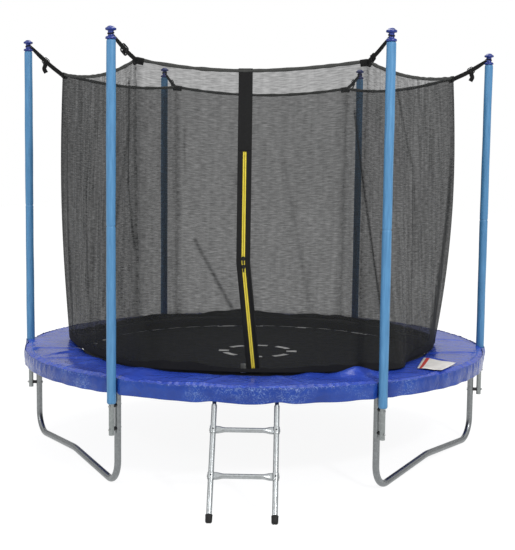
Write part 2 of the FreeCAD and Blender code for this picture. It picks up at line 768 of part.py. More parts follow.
def ladder_rail(label, side):
    """A tube whose top carries a flat hook over the frame ring."""
    start = LADDER_TUBE_START
    outer = doc.addObject("Part::Cylinder", label + "_outer")
    outer.setExpression("Radius", cell("ladder_diameter / 2"))
    outer.Height = LADDER_LENGTH - TUBE_END_GAP - start
    outer.Placement = ladder_place(side, start)
    bore = doc.addObject("Part::Cylinder", label + "_bore")
    bore.setExpression("Radius", cell("ladder_diameter / 2 - ladder_wall"))
    bore.Height = LADDER_LENGTH - TUBE_END_GAP - start - 12
    bore.Placement = ladder_place(side, start)
    bar = doc.addObject("Part::Box", label + "_bar")
    bar.setExpression("Length", cell("hook_width"))
    bar.setExpression("Width", cell("hook_thickness"))
    bar.Height = TUBE_END_GAP - size("hook_bore") / 2 + 4
    centred = FreeCAD.Vector(-size("hook_width") / 2, -size("hook_thickness") / 2, -6)
    bar.Placement = ladder_place(side, LADDER_LENGTH - TUBE_END_GAP).multiply(
        FreeCAD.Placement(centred, FreeCAD.Rotation()))
    across = FreeCAD.Rotation(FreeCAD.Vector(0, 1, 0), 90)
    centre = FreeCAD.Vector(side * HALF_WIDTH - size("hook_width") / 2, HINGE_Y, HINGE_Z)
    sector_angle = 205
    band = doc.addObject("Part::Cylinder", label + "_band")
    band.setExpression("Radius", cell("hook_bore / 2 + hook_thickness"))
    band.setExpression("Height", cell("hook_width"))
    band.Angle = sector_angle
    spin = FreeCAD.Rotation(FreeCAD.Vector(1, 0, 0), 270 - LADDER_LEAN - sector_angle + 3)
    band.Placement = FreeCAD.Placement(centre, spin.multiply(across))
    space = doc.addObject("Part::Cylinder", label + "_space")
    space.setExpression("Radius", cell("hook_bore / 2"))
    space.setExpression("Height", cell("hook_width + 20"))
    space.Placement = FreeCAD.Placement(centre - FreeCAD.Vector(10, 0, 0), across)
    rail = cut(label + "_rail", fuse(label + "_metal", [
        cut(label + "_tube", outer, bore), bar, band]), space)
    holes = []
    for place, height in enumerate(("rung_low", "rung_high")):
        holes.append(across_rod(f"{label}_hole_{place}", side, height, "hole_diameter", -20, 20))
    return node(cut(label, rail, fuse(label + "_holes", holes)), label)


def across_rod(name, side, height, diameter, start, end):
    """A rod along X through a rail at one of the rung heights."""
    rod = doc.addObject("Part::Cylinder", name)
    rod.setExpression("Radius", cell(f"({diameter}) / 2"))
    rod.Height = end - start
    at = ladder_place(side, size(height)).Base + FreeCAD.Vector(start, 0, 0)
    rod.Placement = FreeCAD.Placement(at, FreeCAD.Rotation(FreeCAD.Vector(0, 1, 0), 90))
    return rod


def ladder_rung(label, height):
    """A tube between the rails, closed at its ends by the faces that the bolts pull on."""
    gap = HALF_WIDTH - size("ladder_diameter") / 2 - 0.4
    outer = across_rod(label + "_outer", 0, height, "rung_diameter", -gap, gap)
    bore = across_rod(label + "_bore", 0, height, "rung_diameter - 3", -gap + 4, gap - 4)
    thread = across_rod(label + "_thread", 0, height, "bolt_diameter + 0.4", -gap, gap)
    return node(cut(label, outer, fuse(label + "_hollow", [bore, thread])), label)


def ladder_bolts():
    """Four bolts, each through a rail into the end of a rung."""
    pieces = []
    for side in (-1, 1):
        for height in ("rung_low", "rung_high"):
            name = f"ladder_bolt_{'left' if side < 0 else 'right'}_{height}"
            face = size("ladder_diameter") / 2 + 0.4
            ends = sorted((side * face, side * (face + 4)))
            head = across_rod(name + "_head", side, height, "12", *ends)
            shank_ends = sorted((side * face, -side * 34))
            shank = across_rod(name + "_shank", side, height, "bolt_diameter", *shank_ends)
            pieces.append(fuse(name, [head, shank]))
    return node(group("ladder_bolts", pieces), "ladder_bolts")


def ladder_feet():
    """Rubber caps on the rails, cut off level so that they stand flat."""
    pieces = []
    for side, word in ((-1, "left"), (1, "right")):
        name = f"ladder_foot_{word}"
        block = doc.addObject("Part::Cylinder", name + "_block")
        block.setExpression("Radius", cell("foot_diameter / 2"))
        block.setExpression("Height", cell("foot_length + 30"))
        block.Placement = ladder_place(side, -30)
        hole = doc.addObject("Part::Cylinder", name + "_hole")
        hole.setExpression("Radius", cell("ladder_diameter / 2 + 0.2"))
        hole.setExpression("Height", cell("foot_length"))
        hole.Placement = ladder_place(side, 12)
        ground = doc.addObject("Part::Box", name + "_ground")
        ground.Length = 120
        ground.Width = 160
        ground.Height = 80
        ground.Placement.Base = FreeCAD.Vector(side * HALF_WIDTH - 60,
                                               -size("ladder_foot_distance") - 80, -80)
        pieces.append(cut(name, block, fuse(name + "_cutters", [hole, ground])))
    return node(group("ladder_feet", pieces), "ladder_feet")


# --- the whole trampoline -----------------------------------------------------------------------

for pole_number in POLE_ANGLES:
    frame_rail(pole_number)
    pole_lower(pole_number)
    pole_upper(pole_number)
    pole_sleeve(pole_number)
leg("leg_right", 2)
leg("leg_back", 4)
leg("leg_left", 6)
pole_caps()
hardware("spacer", "pole_spacers", spacer, ("bolt_height_low", "bolt_height_high"))
hardware("bolt", "pole_bolts", bolt, ("bolt_height_low", "bolt_height_high"))
hardware("nut", "pole_nuts", nut, ("bolt_height_low", "bolt_height_high"))
hardware("screw", "frame_screws", frame_screw, ("screw_height",))
jumping_mat()
mat_rings()
springs()
notched_ring("safety_pad", "pad_outer_radius", "pad_inner_radius", "pad_bottom", "pad_top")
notched_ring("pad_skirt", "pad_outer_radius", "pad_outer_radius - skirt_thickness",
             "skirt_bottom", "pad_bottom")
for panel_number in range(1, 6):
    net_panel(panel_number, -90 + 60 * panel_number)
front_net("net_panel_front_left", "-1")
front_net("net_panel_front_right", "1")
door_strip("door_strip_left", "-1")
door_strip("door_strip_right", "1")
zip_tape("zip_tape_left", "-1")
zip_tape("zip_tape_right", "1")
net_top_hem()
net_bottom_hem()
net_straps()
strap_buckles()
zip_slider("zip_slider_upper", "zip_top_x", "zip_top_height")
zip_slider("zip_slider_lower", "zip_bottom_x", "zip_bottom_height")
ladder_rail("ladder_rail_left", -1)
ladder_rail("ladder_rail_right", 1)
ladder_rung("ladder_rung_lower", "rung_low")
ladder_rung("ladder_rung_upper", "rung_high")
ladder_bolts()
ladder_feet()

doc.recompute()
for item in doc.Objects:
    if "Invalid" in item.State or "Error" in item.State:
        raise RuntimeError(f"{item.Name} failed to build: {item.State}")
for item in nodes:
    if item.Shape.isNull() or not item.Shape.isValid():
        raise RuntimeError(f"{item.Label} has no valid shape")

os.makedirs("parts", exist_ok=True)
for item in nodes:
    item.Shape.exportStep(f"parts/{item.Label}.step")
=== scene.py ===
import bpy
import bmesh
import json
import math
import numpy as np
from mathutils import Matrix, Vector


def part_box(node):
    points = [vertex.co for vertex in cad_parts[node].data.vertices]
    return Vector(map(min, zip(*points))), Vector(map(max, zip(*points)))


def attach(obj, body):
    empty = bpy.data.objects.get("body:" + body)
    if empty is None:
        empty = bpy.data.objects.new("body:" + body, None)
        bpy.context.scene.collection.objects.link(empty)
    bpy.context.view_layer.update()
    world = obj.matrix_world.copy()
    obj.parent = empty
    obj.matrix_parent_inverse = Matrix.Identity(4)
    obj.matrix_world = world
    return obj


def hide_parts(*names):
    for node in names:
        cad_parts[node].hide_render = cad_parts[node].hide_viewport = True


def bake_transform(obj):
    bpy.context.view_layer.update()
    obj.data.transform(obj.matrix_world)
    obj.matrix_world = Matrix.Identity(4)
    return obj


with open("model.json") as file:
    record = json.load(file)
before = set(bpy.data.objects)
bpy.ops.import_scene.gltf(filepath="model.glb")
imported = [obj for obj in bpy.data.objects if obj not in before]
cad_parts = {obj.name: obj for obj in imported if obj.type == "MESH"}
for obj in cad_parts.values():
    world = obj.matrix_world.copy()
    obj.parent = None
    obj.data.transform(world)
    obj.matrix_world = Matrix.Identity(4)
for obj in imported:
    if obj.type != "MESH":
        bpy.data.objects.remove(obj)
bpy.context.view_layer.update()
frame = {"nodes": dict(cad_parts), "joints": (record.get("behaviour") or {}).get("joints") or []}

# Backyard trampoline, in metres, +Z up, its door and ladder towards -Y.

TAU = 2 * np.pi
POLE_TURNS = {number: math.radians(-180 + 60 * number) for number in range(1, 7)}
SIDE_POLES = (3, 6)


def low(node):
    """Lowest corner of a CAD node."""
    return np.array(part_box(node)[0])


def high(node):
    """Highest corner of a CAD node."""
    return np.array(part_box(node)[1])


POLE_RADIUS = (low("pole_upper_3")[0] + high("pole_upper_3")[0]) / 2
SLEEVE_RADIUS = (high("pole_sleeve_3")[1] - low("pole_sleeve_3")[1]) / 2
TUBE_RADIUS = (high("pole_upper_3")[1] - low("pole_upper_3")[1]) / 2
POLE_TOPS = {number: high(f"pole_upper_{number}")[2] for number in POLE_TURNS}
MAT_TOP = high("jumping_mat")[2]
MAT_RADIUS = high("jumping_mat")[0]
PAD_OUTER = high("safety_pad")[1]
PAD_BOTTOM = low("safety_pad")[2]
PAD_TOP = high("safety_pad")[2]
SKIRT_BOTTOM = low("pad_skirt")[2]
JOINTS = {joint["name"]: joint for joint in frame["joints"]}
RING_HEIGHT = JOINTS["ladder_swing"]["pos_m"][2]

PAD_INNER = 0.945           # radii from the middle
HEM_INNER = 0.935
NET_CORNER_TOP = 1.060
NET_CORNER_BOTTOM = 1.030
NET_TOP = 1.980             # heights
NET_BOTTOM = 0.536
NET_SAG = 0.040
SIDE_HALF_WIDTH = 0.52      # half of one net side, for finding places on it
SPRINGS = 48
SPRINGS_A_PIECE = 4
RING_COLUMNS = 1080         # columns of the pad's and the skirt's grids
WHITE = (1, 1, 1, 1)


# --- finishes -------------------------------------------------------------------------

def linear(hex_colour):
    """sRGB hex to linear RGBA: c / 12.92 below 0.04045, else ((c + 0.055) / 1.055) ^ 2.4."""
    c = np.array([int(hex_colour[i:i + 2], 16) / 255 for i in (1, 3, 5)])
    c = np.where(c <= 0.04045, c / 12.92, ((c + 0.055) / 1.055) ** 2.4)
    return (*c, 1.0)


def add(tree, kind, inputs=(), stops=(), feeds=None, **settings):
    """Adds one shader node with its settings and colour stops. An input is a plain value, an
    output socket, or a node that stands for its first output, which feeds may link onward."""
    node = tree.nodes.new("ShaderNode" + kind)
    for name, value in settings.items():
        setattr(node, name, value)
    for socket, value in dict(inputs).items():
        if isinstance(value, bpy.types.Node):
            value = value.outputs[0]
        if isinstance(value, bpy.types.NodeSocket):
            tree.links.new(value, node.inputs[socket])
        else:
            node.inputs[socket].default_value = value
    for place, (position, colour) in enumerate(stops):
        elements = node.color_ramp.elements
        stop = elements[place] if place < len(elements) else elements.new(position)
        stop.position = position
        stop.color = linear(colour)
    if feeds:
        tree.links.new(node.outputs[0], feeds)
    return node


def finish(name, colour=None, **sockets):
    """A new material, its tree and its shader's sockets, where the constants are set directly."""
    material = bpy.data.materials.new(name)
    material.use_nodes = True
    tree = material.node_tree
    shader = tree.nodes["Principled BSDF"].inputs
    if colour:
        shader["Base Color"].default_value = linear(colour)
    for socket, value in sockets.items():
        shader[socket.replace("_", " ")].default_value = value
    return material, tree, shader


def per_metre(millimetres):
    """How many repeats of a real size there are in a metre."""
    return 1000.0 / millimetres


def galvanised_steel(name, darker, lighter, cloud_mm):
    """Hot-dipped galvanised steel tube: soft grey metal whose zinc gives faint cloudy patches and
    small spangle cells, blurring its reflections unevenly."""
    material, tree, shader = finish(name, Metallic=1.0, Roughness=0.3)
    place = add(tree, "TexCoord").outputs["Object"]
    cloud = add(tree, "TexNoise", {"Vector": place, "Scale": per_metre(cloud_mm), "Detail": 4.0})
    spangle = add(tree, "TexVoronoi", {"Vector": place, "Scale": per_metre(9)}).outputs["Color"]
    grey = add(tree, "Math", {0: cloud, 1: spangle, 2: spangle}, operation="MULTIPLY_ADD")
    level = add(tree, "MapRange", {"Value": grey, "From Min": 0.3, "From Max": 1.4})
    add(tree, "ValToRGB", {"Fac": level}, ((0.2, darker), (0.8, lighter)),
        feeds=shader["Base Color"])
    add(tree, "MapRange", {"Value": cloud, "From Min": 0.3, "From Max": 0.7,
                           "To Min": 0.29, "To Max": 0.35}, feeds=shader["Roughness"])
    return material


def foam_sleeve():
    """PVC skin over polyethylene foam: satin pale blue, with long faint streaks from extrusion
    and a fine pebble that breaks up the highlight."""
    material, tree, shader = finish("foam_sleeve_pvc_skin", Roughness=0.48, IOR=1.50,
                                    Coat_Weight=0.10, Coat_Roughness=0.32)
    place = add(tree, "TexCoord").outputs["Object"]
    along = add(tree, "Mapping", {"Vector": place, "Scale": (1, 1, 0.10)})
    streak = add(tree, "TexNoise", {"Vector": along, "Scale": per_metre(9), "Detail": 4.0})
    add(tree, "ValToRGB", {"Fac": streak},
        ((0.30, "#457CA8"), (0.52, "#4D86B3"), (0.74, "#5791BD")), feeds=shader["Base Color"])
    pebble = add(tree, "TexNoise", {"Vector": place, "Scale": per_metre(4), "Detail": 5.0})
    add(tree, "Bump", {"Height": pebble, "Distance": 0.0005, "Strength": 0.5},
        feeds=shader["Normal"])
    return material


def moulded_polypropylene():
    """Injection-moulded polypropylene: deep royal blue, half gloss, a trace of flow marks."""
    material, tree, shader = finish("moulded_polypropylene_blue", Roughness=0.32, IOR=1.49)
    place = add(tree, "TexCoord").outputs["Object"]
    flow = add(tree, "TexNoise", {"Vector": place, "Scale": per_metre(14), "Detail": 2.0})
    add(tree, "ValToRGB", {"Fac": flow}, ((0.3, "#1B2C72"), (0.7, "#243A8C")),
        feeds=shader["Base Color"])
    grain = add(tree, "TexNoise", {"Vector": place, "Scale": per_metre(0.9)})
    add(tree, "Bump", {"Height": grain, "Distance": 0.00015, "Strength": 0.35},
        feeds=shader["Normal"])
    return material


def coated_pvc(name, tones, crease_mm, crazing_mm, crazing_and_glint_share):
    """PVC-coated polyester: glossy blue film. It creases softly across the ring, and where it has
    been folded it crazes into a net of sharp pale lines. The pale lines are partly real
    stress-whitening and partly painted highlight: their pale colour also stands in for the lamps'
    glints on the film."""
    material, tree, shader = finish(name, Roughness=0.24, IOR=1.53, Specular_IOR_Level=0.30,
                                    Coat_Weight=0.26, Coat_Roughness=0.05)
    cloth = add(tree, "UVMap", uv_map="cloth")
    across = add(tree, "Mapping", {"Vector": cloth, "Scale": (per_metre(crease_mm),
                                                              per_metre(crease_mm * 1.7), 1)})
    creases = add(tree, "TexNoise", {"Vector": across, "Scale": 1.0, "Detail": 2.0,
                                     "Distortion": 2.5})
    cells = add(tree, "TexNoise", {"Vector": cloth, "Scale": per_metre(crazing_mm),
                                   "Detail": 2.5, "Distortion": 2.2})
    off_middle = add(tree, "Math", {0: cells, 1: 0.5}, operation="SUBTRACT")
    ridge = add(tree, "Math", {0: off_middle}, operation="ABSOLUTE")
    ridge = add(tree, "MapRange", {"Value": ridge, "From Max": 0.035, "To Min": 1.0,
                                   "To Max": 0.0}, interpolation_type="SMOOTHSTEP")
    patch = add(tree, "TexNoise", {"Vector": cloth, "Scale": per_metre(140), "Detail": 3.0})
    # this attribute says where the film is drawn with pale crazed lines, partly real and partly
    # painted glints
    crazing_and_glint_amount = add(tree, "Attribute", attribute_name="crazing_and_glint_amount").outputs["Fac"]
    share = add(tree, "Math", {0: patch, 1: crazing_and_glint_amount})
    share = add(tree, "MapRange", {"Value": share, "From Min": 1.02, "From Max": 1.30})
    crazing_and_glints = add(tree, "Math", {0: ridge, 1: share}, operation="MULTIPLY")
    base = add(tree, "ValToRGB", {"Fac": patch}, tones)
    # partly painted highlight: the pale #9DBBF2 along the crazed lines is real stress-whitening
    # and also paints the glints of the lamps
    pale = add(tree, "Math", {0: crazing_and_glints, 1: crazing_and_glint_share}, operation="MULTIPLY")
    # sockets 6 and 7 are the node's two colours, and output 2 is the mixed one
    tone = add(tree, "Mix", {0: pale, 6: base, 7: linear("#9DBBF2")}, data_type="RGBA")
    tree.links.new(tone.outputs[2], shader["Base Color"])
    soft = add(tree, "Bump", {"Height": creases, "Distance": 0.007, "Strength": 0.75})
    add(tree, "Bump", {"Height": crazing_and_glints, "Distance": 0.002, "Strength": 0.8,
                       "Normal": soft}, feeds=shader["Normal"])
    return material


def knitted_mesh(name, colour, cover, swing, folds):
    """Knitted polyethylene mesh: dark yarn with open holes, so it is seen through.

    Its 2 to 3 mm holes are too fine to show, so the rows are drawn 6 mm apart, and the rest of
    the openness is an even share of see-through. Gathers and folds close it up."""
    material, tree, shader = finish(name, colour, Roughness=0.7, IOR=1.5, Specular_IOR_Level=0.15)
    cloth = add(tree, "UVMap", uv_map="cloth")
    row_place = add(tree, "Mapping", {"Vector": cloth, "Scale": (per_metre(42), per_metre(6), 1)})
    rows = add(tree, "TexNoise", {"Vector": row_place, "Scale": 1.0, "Detail": 2.0})
    column_place = add(tree, "Mapping", {"Vector": cloth, "Scale": (per_metre(26),
                                                                    per_metre(300), 1)})
    columns = add(tree, "TexNoise", {"Vector": column_place, "Scale": 1.0, "Detail": 1.0,
                                     "Distortion": 0.8})
    even = add(tree, "MapRange", {"Value": rows, "From Min": 0.3, "From Max": 0.7,
                                  "To Min": cover - swing, "To Max": cover + swing})
    loose = add(tree, "Attribute", attribute_name="loose").outputs["Fac"]
    centred = add(tree, "MapRange", {"Value": columns, "From Min": 0.32, "From Max": 0.68,
                                     "To Min": -folds, "To Max": folds})
    streaks = add(tree, "Math", {0: centred, 1: loose}, operation="MULTIPLY")
    gather = add(tree, "Attribute", attribute_name="gather").outputs["Fac"]
    closed = add(tree, "Math", {0: even, 1: streaks})
    add(tree, "Math", {0: closed, 1: gather}, use_clamp=True, feeds=shader["Alpha"])
    return material


def webbing(name, dark, light, rib_mm, rough):
    """Woven polyester or polypropylene tape: dull, with raised ribs across it and a little lint
    that lightens them. The ribs are drawn about twice as coarse as they are, so that they show."""
    material, tree, shader = finish(name, Roughness=rough, IOR=1.5, Specular_IOR_Level=0.2)
    cloth = add(tree, "UVMap", uv_map="cloth")
    place = add(tree, "Mapping", {"Vector": cloth, "Scale": (per_metre(rib_mm * 3),
                                                             per_metre(rib_mm), 1)})
    ribs = add(tree, "TexWave", {"Vector": place, "Scale": 1.0, "Distortion": 0.6},
               bands_direction="Y")
    lint = add(tree, "TexNoise", {"Vector": place, "Scale": 0.5, "Detail": 4.0})
    mixed = add(tree, "Math", {0: ribs.outputs["Fac"], 1: lint}, operation="MULTIPLY")
    add(tree, "ValToRGB", {"Fac": mixed}, ((0.1, dark), (0.6, light)), feeds=shader["Base Color"])
    add(tree, "Bump", {"Height": ribs.outputs["Fac"], "Distance": 0.0005,
                       "Strength": 0.6}, feeds=shader["Normal"])
    return material


def mat_weave():
    """Woven polypropylene ribbon: near-black, a fine square grid, dusty in soft patches. The
    3 mm ribbons are drawn 6 mm apart, so that the grid shows."""
    material, tree, shader = finish("woven_polypropylene_mat", Roughness=0.72, IOR=1.49,
                                    Specular_IOR_Level=0.12)
    place = add(tree, "TexCoord").outputs["Object"]
    scaled = add(tree, "Mapping", {"Vector": place, "Scale": (per_metre(6), per_metre(6), 1)})
    warp = add(tree, "TexWave", {"Vector": scaled, "Scale": 1.0}, bands_direction="X")
    weft = add(tree, "TexWave", {"Vector": scaled, "Scale": 1.0}, bands_direction="Y")
    crossing = add(tree, "Math", {0: warp.outputs["Fac"], 1: weft.outputs["Fac"]},
                   operation="MULTIPLY")
    dust = add(tree, "TexNoise", {"Vector": place, "Scale": per_metre(240), "Detail": 4.0})
    level = add(tree, "Math", {0: crossing, 1: 0.35, 2: dust}, operation="MULTIPLY_ADD")
    add(tree, "ValToRGB", {"Fac": level}, ((0.30, "#141515"), (0.95, "#232424")),
        feeds=shader["Base Color"])
    add(tree, "Bump", {"Height": crossing, "Distance": 0.0006, "Strength": 0.5},
        feeds=shader["Normal"])
    return material


def moulded(name, darker, lighter, rough, grain_mm, depth, specular=0.5):
    """A moulded, printed or stitched finish in one colour: slightly blotchy, with a fine grain
    that softens its highlight."""
    material, tree, shader = finish(name, Roughness=rough, IOR=1.5, Specular_IOR_Level=specular)
    place = add(tree, "TexCoord").outputs["Object"]
    blotch = add(tree, "TexNoise", {"Vector": place, "Scale": per_metre(35), "Detail": 2.0})
    add(tree, "ValToRGB", {"Fac": blotch}, ((0.3, darker), (0.7, lighter)),
        feeds=shader["Base Color"])
    grain = add(tree, "TexNoise", {"Vector": place, "Scale": per_metre(grain_mm), "Detail": 3.0})
    add(tree, "Bump", {"Height": grain, "Distance": depth, "Strength": 0.5},
        feeds=shader["Normal"])
    return material


STEEL = galvanised_steel("galvanised_steel_tube", "#8B8E8F", "#95999A", cloud_mm=45)
LADDER_STEEL = galvanised_steel("galvanised_ladder_tube", "#B0B4B5", "#BBBFC1", cloud_mm=45)
POLE_STEEL = galvanised_steel("galvanised_pole_tube", "#979C9B", "#A3A8A7", cloud_mm=30)
ZINC = galvanised_steel("zinc_plated_hardware", "#A2A4A4", "#C2C3C2", cloud_mm=12)
SLEEVE = foam_sleeve()
CAP = moulded_polypropylene()
PAD = coated_pvc("coated_pvc_pad", ((0.30, "#2440A6"), (0.50, "#2A49B6"), (0.72, "#3152C0")),
                 crease_mm=90, crazing_mm=60, crazing_and_glint_share=0.35)
# painted shade: the skirt is the same PVC as the pad, but its tones are set darker so that the
# upright skirt comes out as dark as the shade it hangs in
SKIRT = coated_pvc("coated_pvc_skirt_darkened_for_shade", ((0.30, "#193786"), (0.50, "#1E4096"), (0.72, "#274DA4")),
                   crease_mm=60, crazing_mm=34, crazing_and_glint_share=0.6)
MESH = knitted_mesh("knitted_polyethylene_mesh", "#232424", cover=0.625, swing=0.11, folds=0.09)
MESH_ROLL = knitted_mesh("knitted_mesh_rolled_hem", "#424341", cover=0.95, swing=0.05, folds=0.0)
WEBBING = webbing("polypropylene_webbing_black", "#0D0D0D", "#1E1E1D", rib_mm=2.4, rough=0.74)
HEM_CLOTH = webbing("woven_polyester_hem_black", "#151515", "#222223", rib_mm=3.0, rough=0.75)
ZIP_TAPE = webbing("nylon_zip_tape_yellow", "#DFC83A", "#F3E35C", rib_mm=2.0, rough=0.55)
TEETH = moulded("nylon_zip_coil_yellow", "#EAD748", "#F7E968", 0.36, grain_mm=1.5, depth=0.0001)
BLACK_PLASTIC = moulded("moulded_acetal_black", "#0E0E0F", "#181819", 0.40, grain_mm=1.0,
                        depth=0.00012, specular=0.35)
# painted shade: the rivet heads are zinc like the other hardware, but drawn dark grey for the
# shade they sit in at the front of the saddles
RIVET = moulded("zinc_rivet_darkened_for_shade", "#3E4041", "#55585A", 0.42, grain_mm=1.0, depth=0.0001)
MAT = mat_weave()
RUBBER = moulded("moulded_rubber_black", "#161616", "#222222", 0.66, grain_mm=1.2,
                 depth=0.00025, specular=0.3)
WHITE_MARKS = moulded("white_tape_and_edge_dashes", "#F2F2F0", "#FFFFFF", 0.6, grain_mm=1.5,
                     depth=0.0003, specular=0.3)
LABEL = moulded("printed_vinyl_label_white", "#DDDAD6", "#EAE7E3", 0.38, grain_mm=2.0,
                depth=0.0001)
LABEL_RED = moulded("printed_vinyl_label_red", "#B02A24", "#C2382E", 0.38, grain_mm=2.0,
                    depth=0.0001)
TAG = moulded("woven_satin_tag_grey", "#A0A19B", "#B6B7B0", 0.60, grain_mm=1.5, depth=0.0002,
              specular=0.3)


# --- meshes from grids ----------------------------------------------------------------

def grid(points, across=1.0, along=1.0, around=False, start=0.0):
    """One or many equal grids of points (..., rows, columns, 3) with UVs in metres.

    U runs over the columns from start and V over the rows; around joins the last column to the
    first."""
    points = np.asarray(points, float)
    rows, columns = points.shape[-3:-1]
    u = start + np.linspace(0, across, columns + 1 if around else columns)
    v = np.linspace(0, along, rows)
    uv = np.stack(np.meshgrid(u, v), axis=-1)
    return points.reshape(-1, rows, columns, 3), uv, around


def piece(name, grids, material, body="frame", outward="closed", wall=0.0, values=None):
    """A mesh object from grids, its equal points merged and its faces turned outwards."""
    vertices, faces, uvs, start = [], [], [], 0
    for points, uv, around in grids:
        copies, rows, columns, _ = points.shape
        i, j = np.meshgrid(np.arange(rows - 1), np.arange(columns if around else columns - 1),
                           indexing="ij")
        after = (j + 1) % columns
        one = np.stack([i * columns + j, i * columns + after,
                        (i + 1) * columns + after, (i + 1) * columns + j], -1).reshape(-1, 4)
        corner_uv = np.stack([uv[i, j], uv[i, j + 1], uv[i + 1, j + 1], uv[i + 1, j]], -2)
        offsets = start + np.arange(copies) * rows * columns
        faces.append((one[None] + offsets[:, None, None]).reshape(-1, 4))
        uvs.append(np.tile(corner_uv.reshape(-1, 2), (copies, 1)))
        vertices.append(points.reshape(-1, 3))
        start += copies * rows * columns
    mesh = bpy.data.meshes.new(name)
    mesh.from_pydata(np.concatenate(vertices).tolist(), [], np.concatenate(faces).tolist())
    layer = mesh.uv_layers.new(name="cloth")
    layer.data.foreach_set("uv", np.concatenate(uvs).astype(np.float32).ravel())
    for label, numbers in (values or {}).items():
        layer = mesh.attributes.new(label, "FLOAT", "POINT")
        layer.data.foreach_set("value", np.asarray(numbers, np.float32).ravel())
    shape = bmesh.new()
    shape.from_mesh(mesh)
    bmesh.ops.remove_doubles(shape, verts=shape.verts, dist=2e-6)
    if outward == "closed":
        bmesh.ops.recalc_face_normals(shape, faces=shape.faces)
    shape.to_mesh(mesh)
    shape.free()
    normals = np.array([p.normal for p in mesh.polygons])
    centres = np.array([p.center for p in mesh.polygons])
    facing = 0.0
    if outward == "radial":
        facing = (normals[:, :2] * centres[:, :2]).sum()
    elif outward == "up":
        facing = normals[:, 2].sum()
    if facing < 0:
        mesh.flip_normals()
    mesh.polygons.foreach_set("use_smooth", np.ones(len(mesh.polygons), bool))
    mesh.materials.append(material)
    made = bpy.data.objects.new(name, mesh)
    bpy.context.scene.collection.objects.link(made)
    if wall:
        solid = made.modifiers.new("cloth_wall", "SOLIDIFY")
        solid.thickness = wall
        solid.offset = 0
    if body is not None:
        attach(made, body)
    return made


def ripple(turns, count, seed, terms=7):
    """A wavy line that closes on itself: the mean of sines sin(tau n turns + phase), with whole
    numbers n near count, raised to about +-1."""
    rng = np.random.default_rng(seed)
    numbers = np.maximum(1, np.round(count * rng.uniform(0.55, 1.7, terms)))
    phases = rng.uniform(0, TAU, terms)
    waves = np.sin(TAU * np.multiply.outer(turns, numbers) + phases)
    return waves.mean(-1) * math.sqrt(terms) * 0.8


def bell(distance, width):
    """exp(-(distance / width)^2)"""
    return np.exp(-(distance / width) ** 2)


def arc_gap(angle, centre, radius):
    """Distance along a circle between angles, shortest way round."""
    return radius * np.abs((angle - centre + np.pi) % TAU - np.pi)


def bump(angle, degrees, width):
    """A bell, in radians along the ring, at a direction in degrees."""
    return bell(arc_gap(angle, math.radians(degrees), 1.0), width)


def lathe(profile, sides=48, centre=(0, 0)):
    """Profile points (radius, height) turned about an upright axis at centre:
    (cx + r cos a, cy + r sin a, z)."""
    profile = np.asarray(profile, float)
    a = np.arange(sides) * TAU / sides
    r, z = profile[:, :1], profile[:, 1:]
    x = centre[0] + r * np.cos(a)
    y = centre[1] + r * np.sin(a)
    return np.stack([x, y, np.broadcast_to(z, x.shape)], -1)


def rounded(profile, share=0.22, steps=4):
    """Cuts each inner corner of a profile by a quadratic curve b (1-t)^2 + 2 c t (1-t) + d t^2
    between points a share of the way to its neighbours."""
    p = np.asarray(profile, float)
    corner = p[1:-1]
    before = corner + (p[:-2] - corner) * share
    after = corner + (p[2:] - corner) * share
    t = np.linspace(0, 1, steps)[None, :, None]
    curve = (before[:, None] * (1 - t) ** 2 + 2 * corner[:, None] * t * (1 - t)
             + after[:, None] * t ** 2)
    return np.concatenate([p[:1], curve.reshape(-1, p.shape[1]), p[-1:]])


def unit(vectors):
    return vectors / np.linalg.norm(vectors, axis=-1, keepdims=True)


def sweep(path, section, up, closed=False, ends=True):
    """A section (x to the side, y to the top) carried along a path:
    path + x side + y top, with side = tangent x up and top = side x tangent."""
    path = np.asarray(path, float)
    if closed:
        tangent = np.roll(path, -1, axis=0) - np.roll(path, 1, axis=0)
    else:
        tangent = np.gradient(path, axis=0)
    tangent = unit(tangent)
    side = unit(np.cross(tangent, np.broadcast_to(up, tangent.shape)))
    top = np.cross(side, tangent)
    section = np.broadcast_to(section, (len(path), *np.shape(section)[-2:]))
    points = path[:, None] + section[..., :1] * side[:, None] + section[..., 1:] * top[:, None]
    if closed:
        return np.concatenate([points, points[:1]])
    if ends:
        first = np.broadcast_to(points[:1].mean(1, keepdims=True), points[:1].shape)
        last = np.broadcast_to(points[-1:].mean(1, keepdims=True), points[-1:].shape)
        return np.concatenate([first, points, last])
    return points


def disc(radius_x, radius_y, sides=16):
    """An ellipse section."""
    a = np.arange(sides) * TAU / sides
    return np.stack([radius_x * np.cos(a), radius_y * np.sin(a)], -1)


def flat_band(width, thickness, sides=20):
    """A strap's section: a superellipse |x/w|^p + |y/h|^p = 1 with p = 8."""
    a = np.arange(sides) * TAU / sides
    c, s = np.cos(a), np.sin(a)
    power = 0.25
    return np.stack([width / 2 * np.sign(c) * np.abs(c) ** power,
                     thickness / 2 * np.sign(s) * np.abs(s) ** power], -1)


def turned(points, angle):
    """Points turned about the trampoline's upright axis."""
    c, s = math.cos(angle), math.sin(angle)
    return np.asarray(points) @ np.array([[c, s, 0], [-s, c, 0], [0, 0, 1]])


def smooth_path(corners, count=40):
    """A path through given points: Catmull-Rom spline, evenly spaced in its parameter."""
    p = np.asarray(corners, float)
    p = np.concatenate([2 * p[:1] - p[1:2], p, 2 * p[-1:] - p[-2:-1]])
    t = np.linspace(0, len(p) - 3 - 1e-9, count)
    i = t.astype(int)
    f = (t - i)[:, None]
    a, b, c, d = p[i], p[i + 1], p[i + 2], p[i + 3]
    return 0.5 * (2 * b + (c - a) * f + (2 * a - 5 * b + 4 * c - d) * f ** 2
                  + (3 * b - a - 3 * c + d) * f ** 3)


# --- net ------------------------------------------------------------------------------

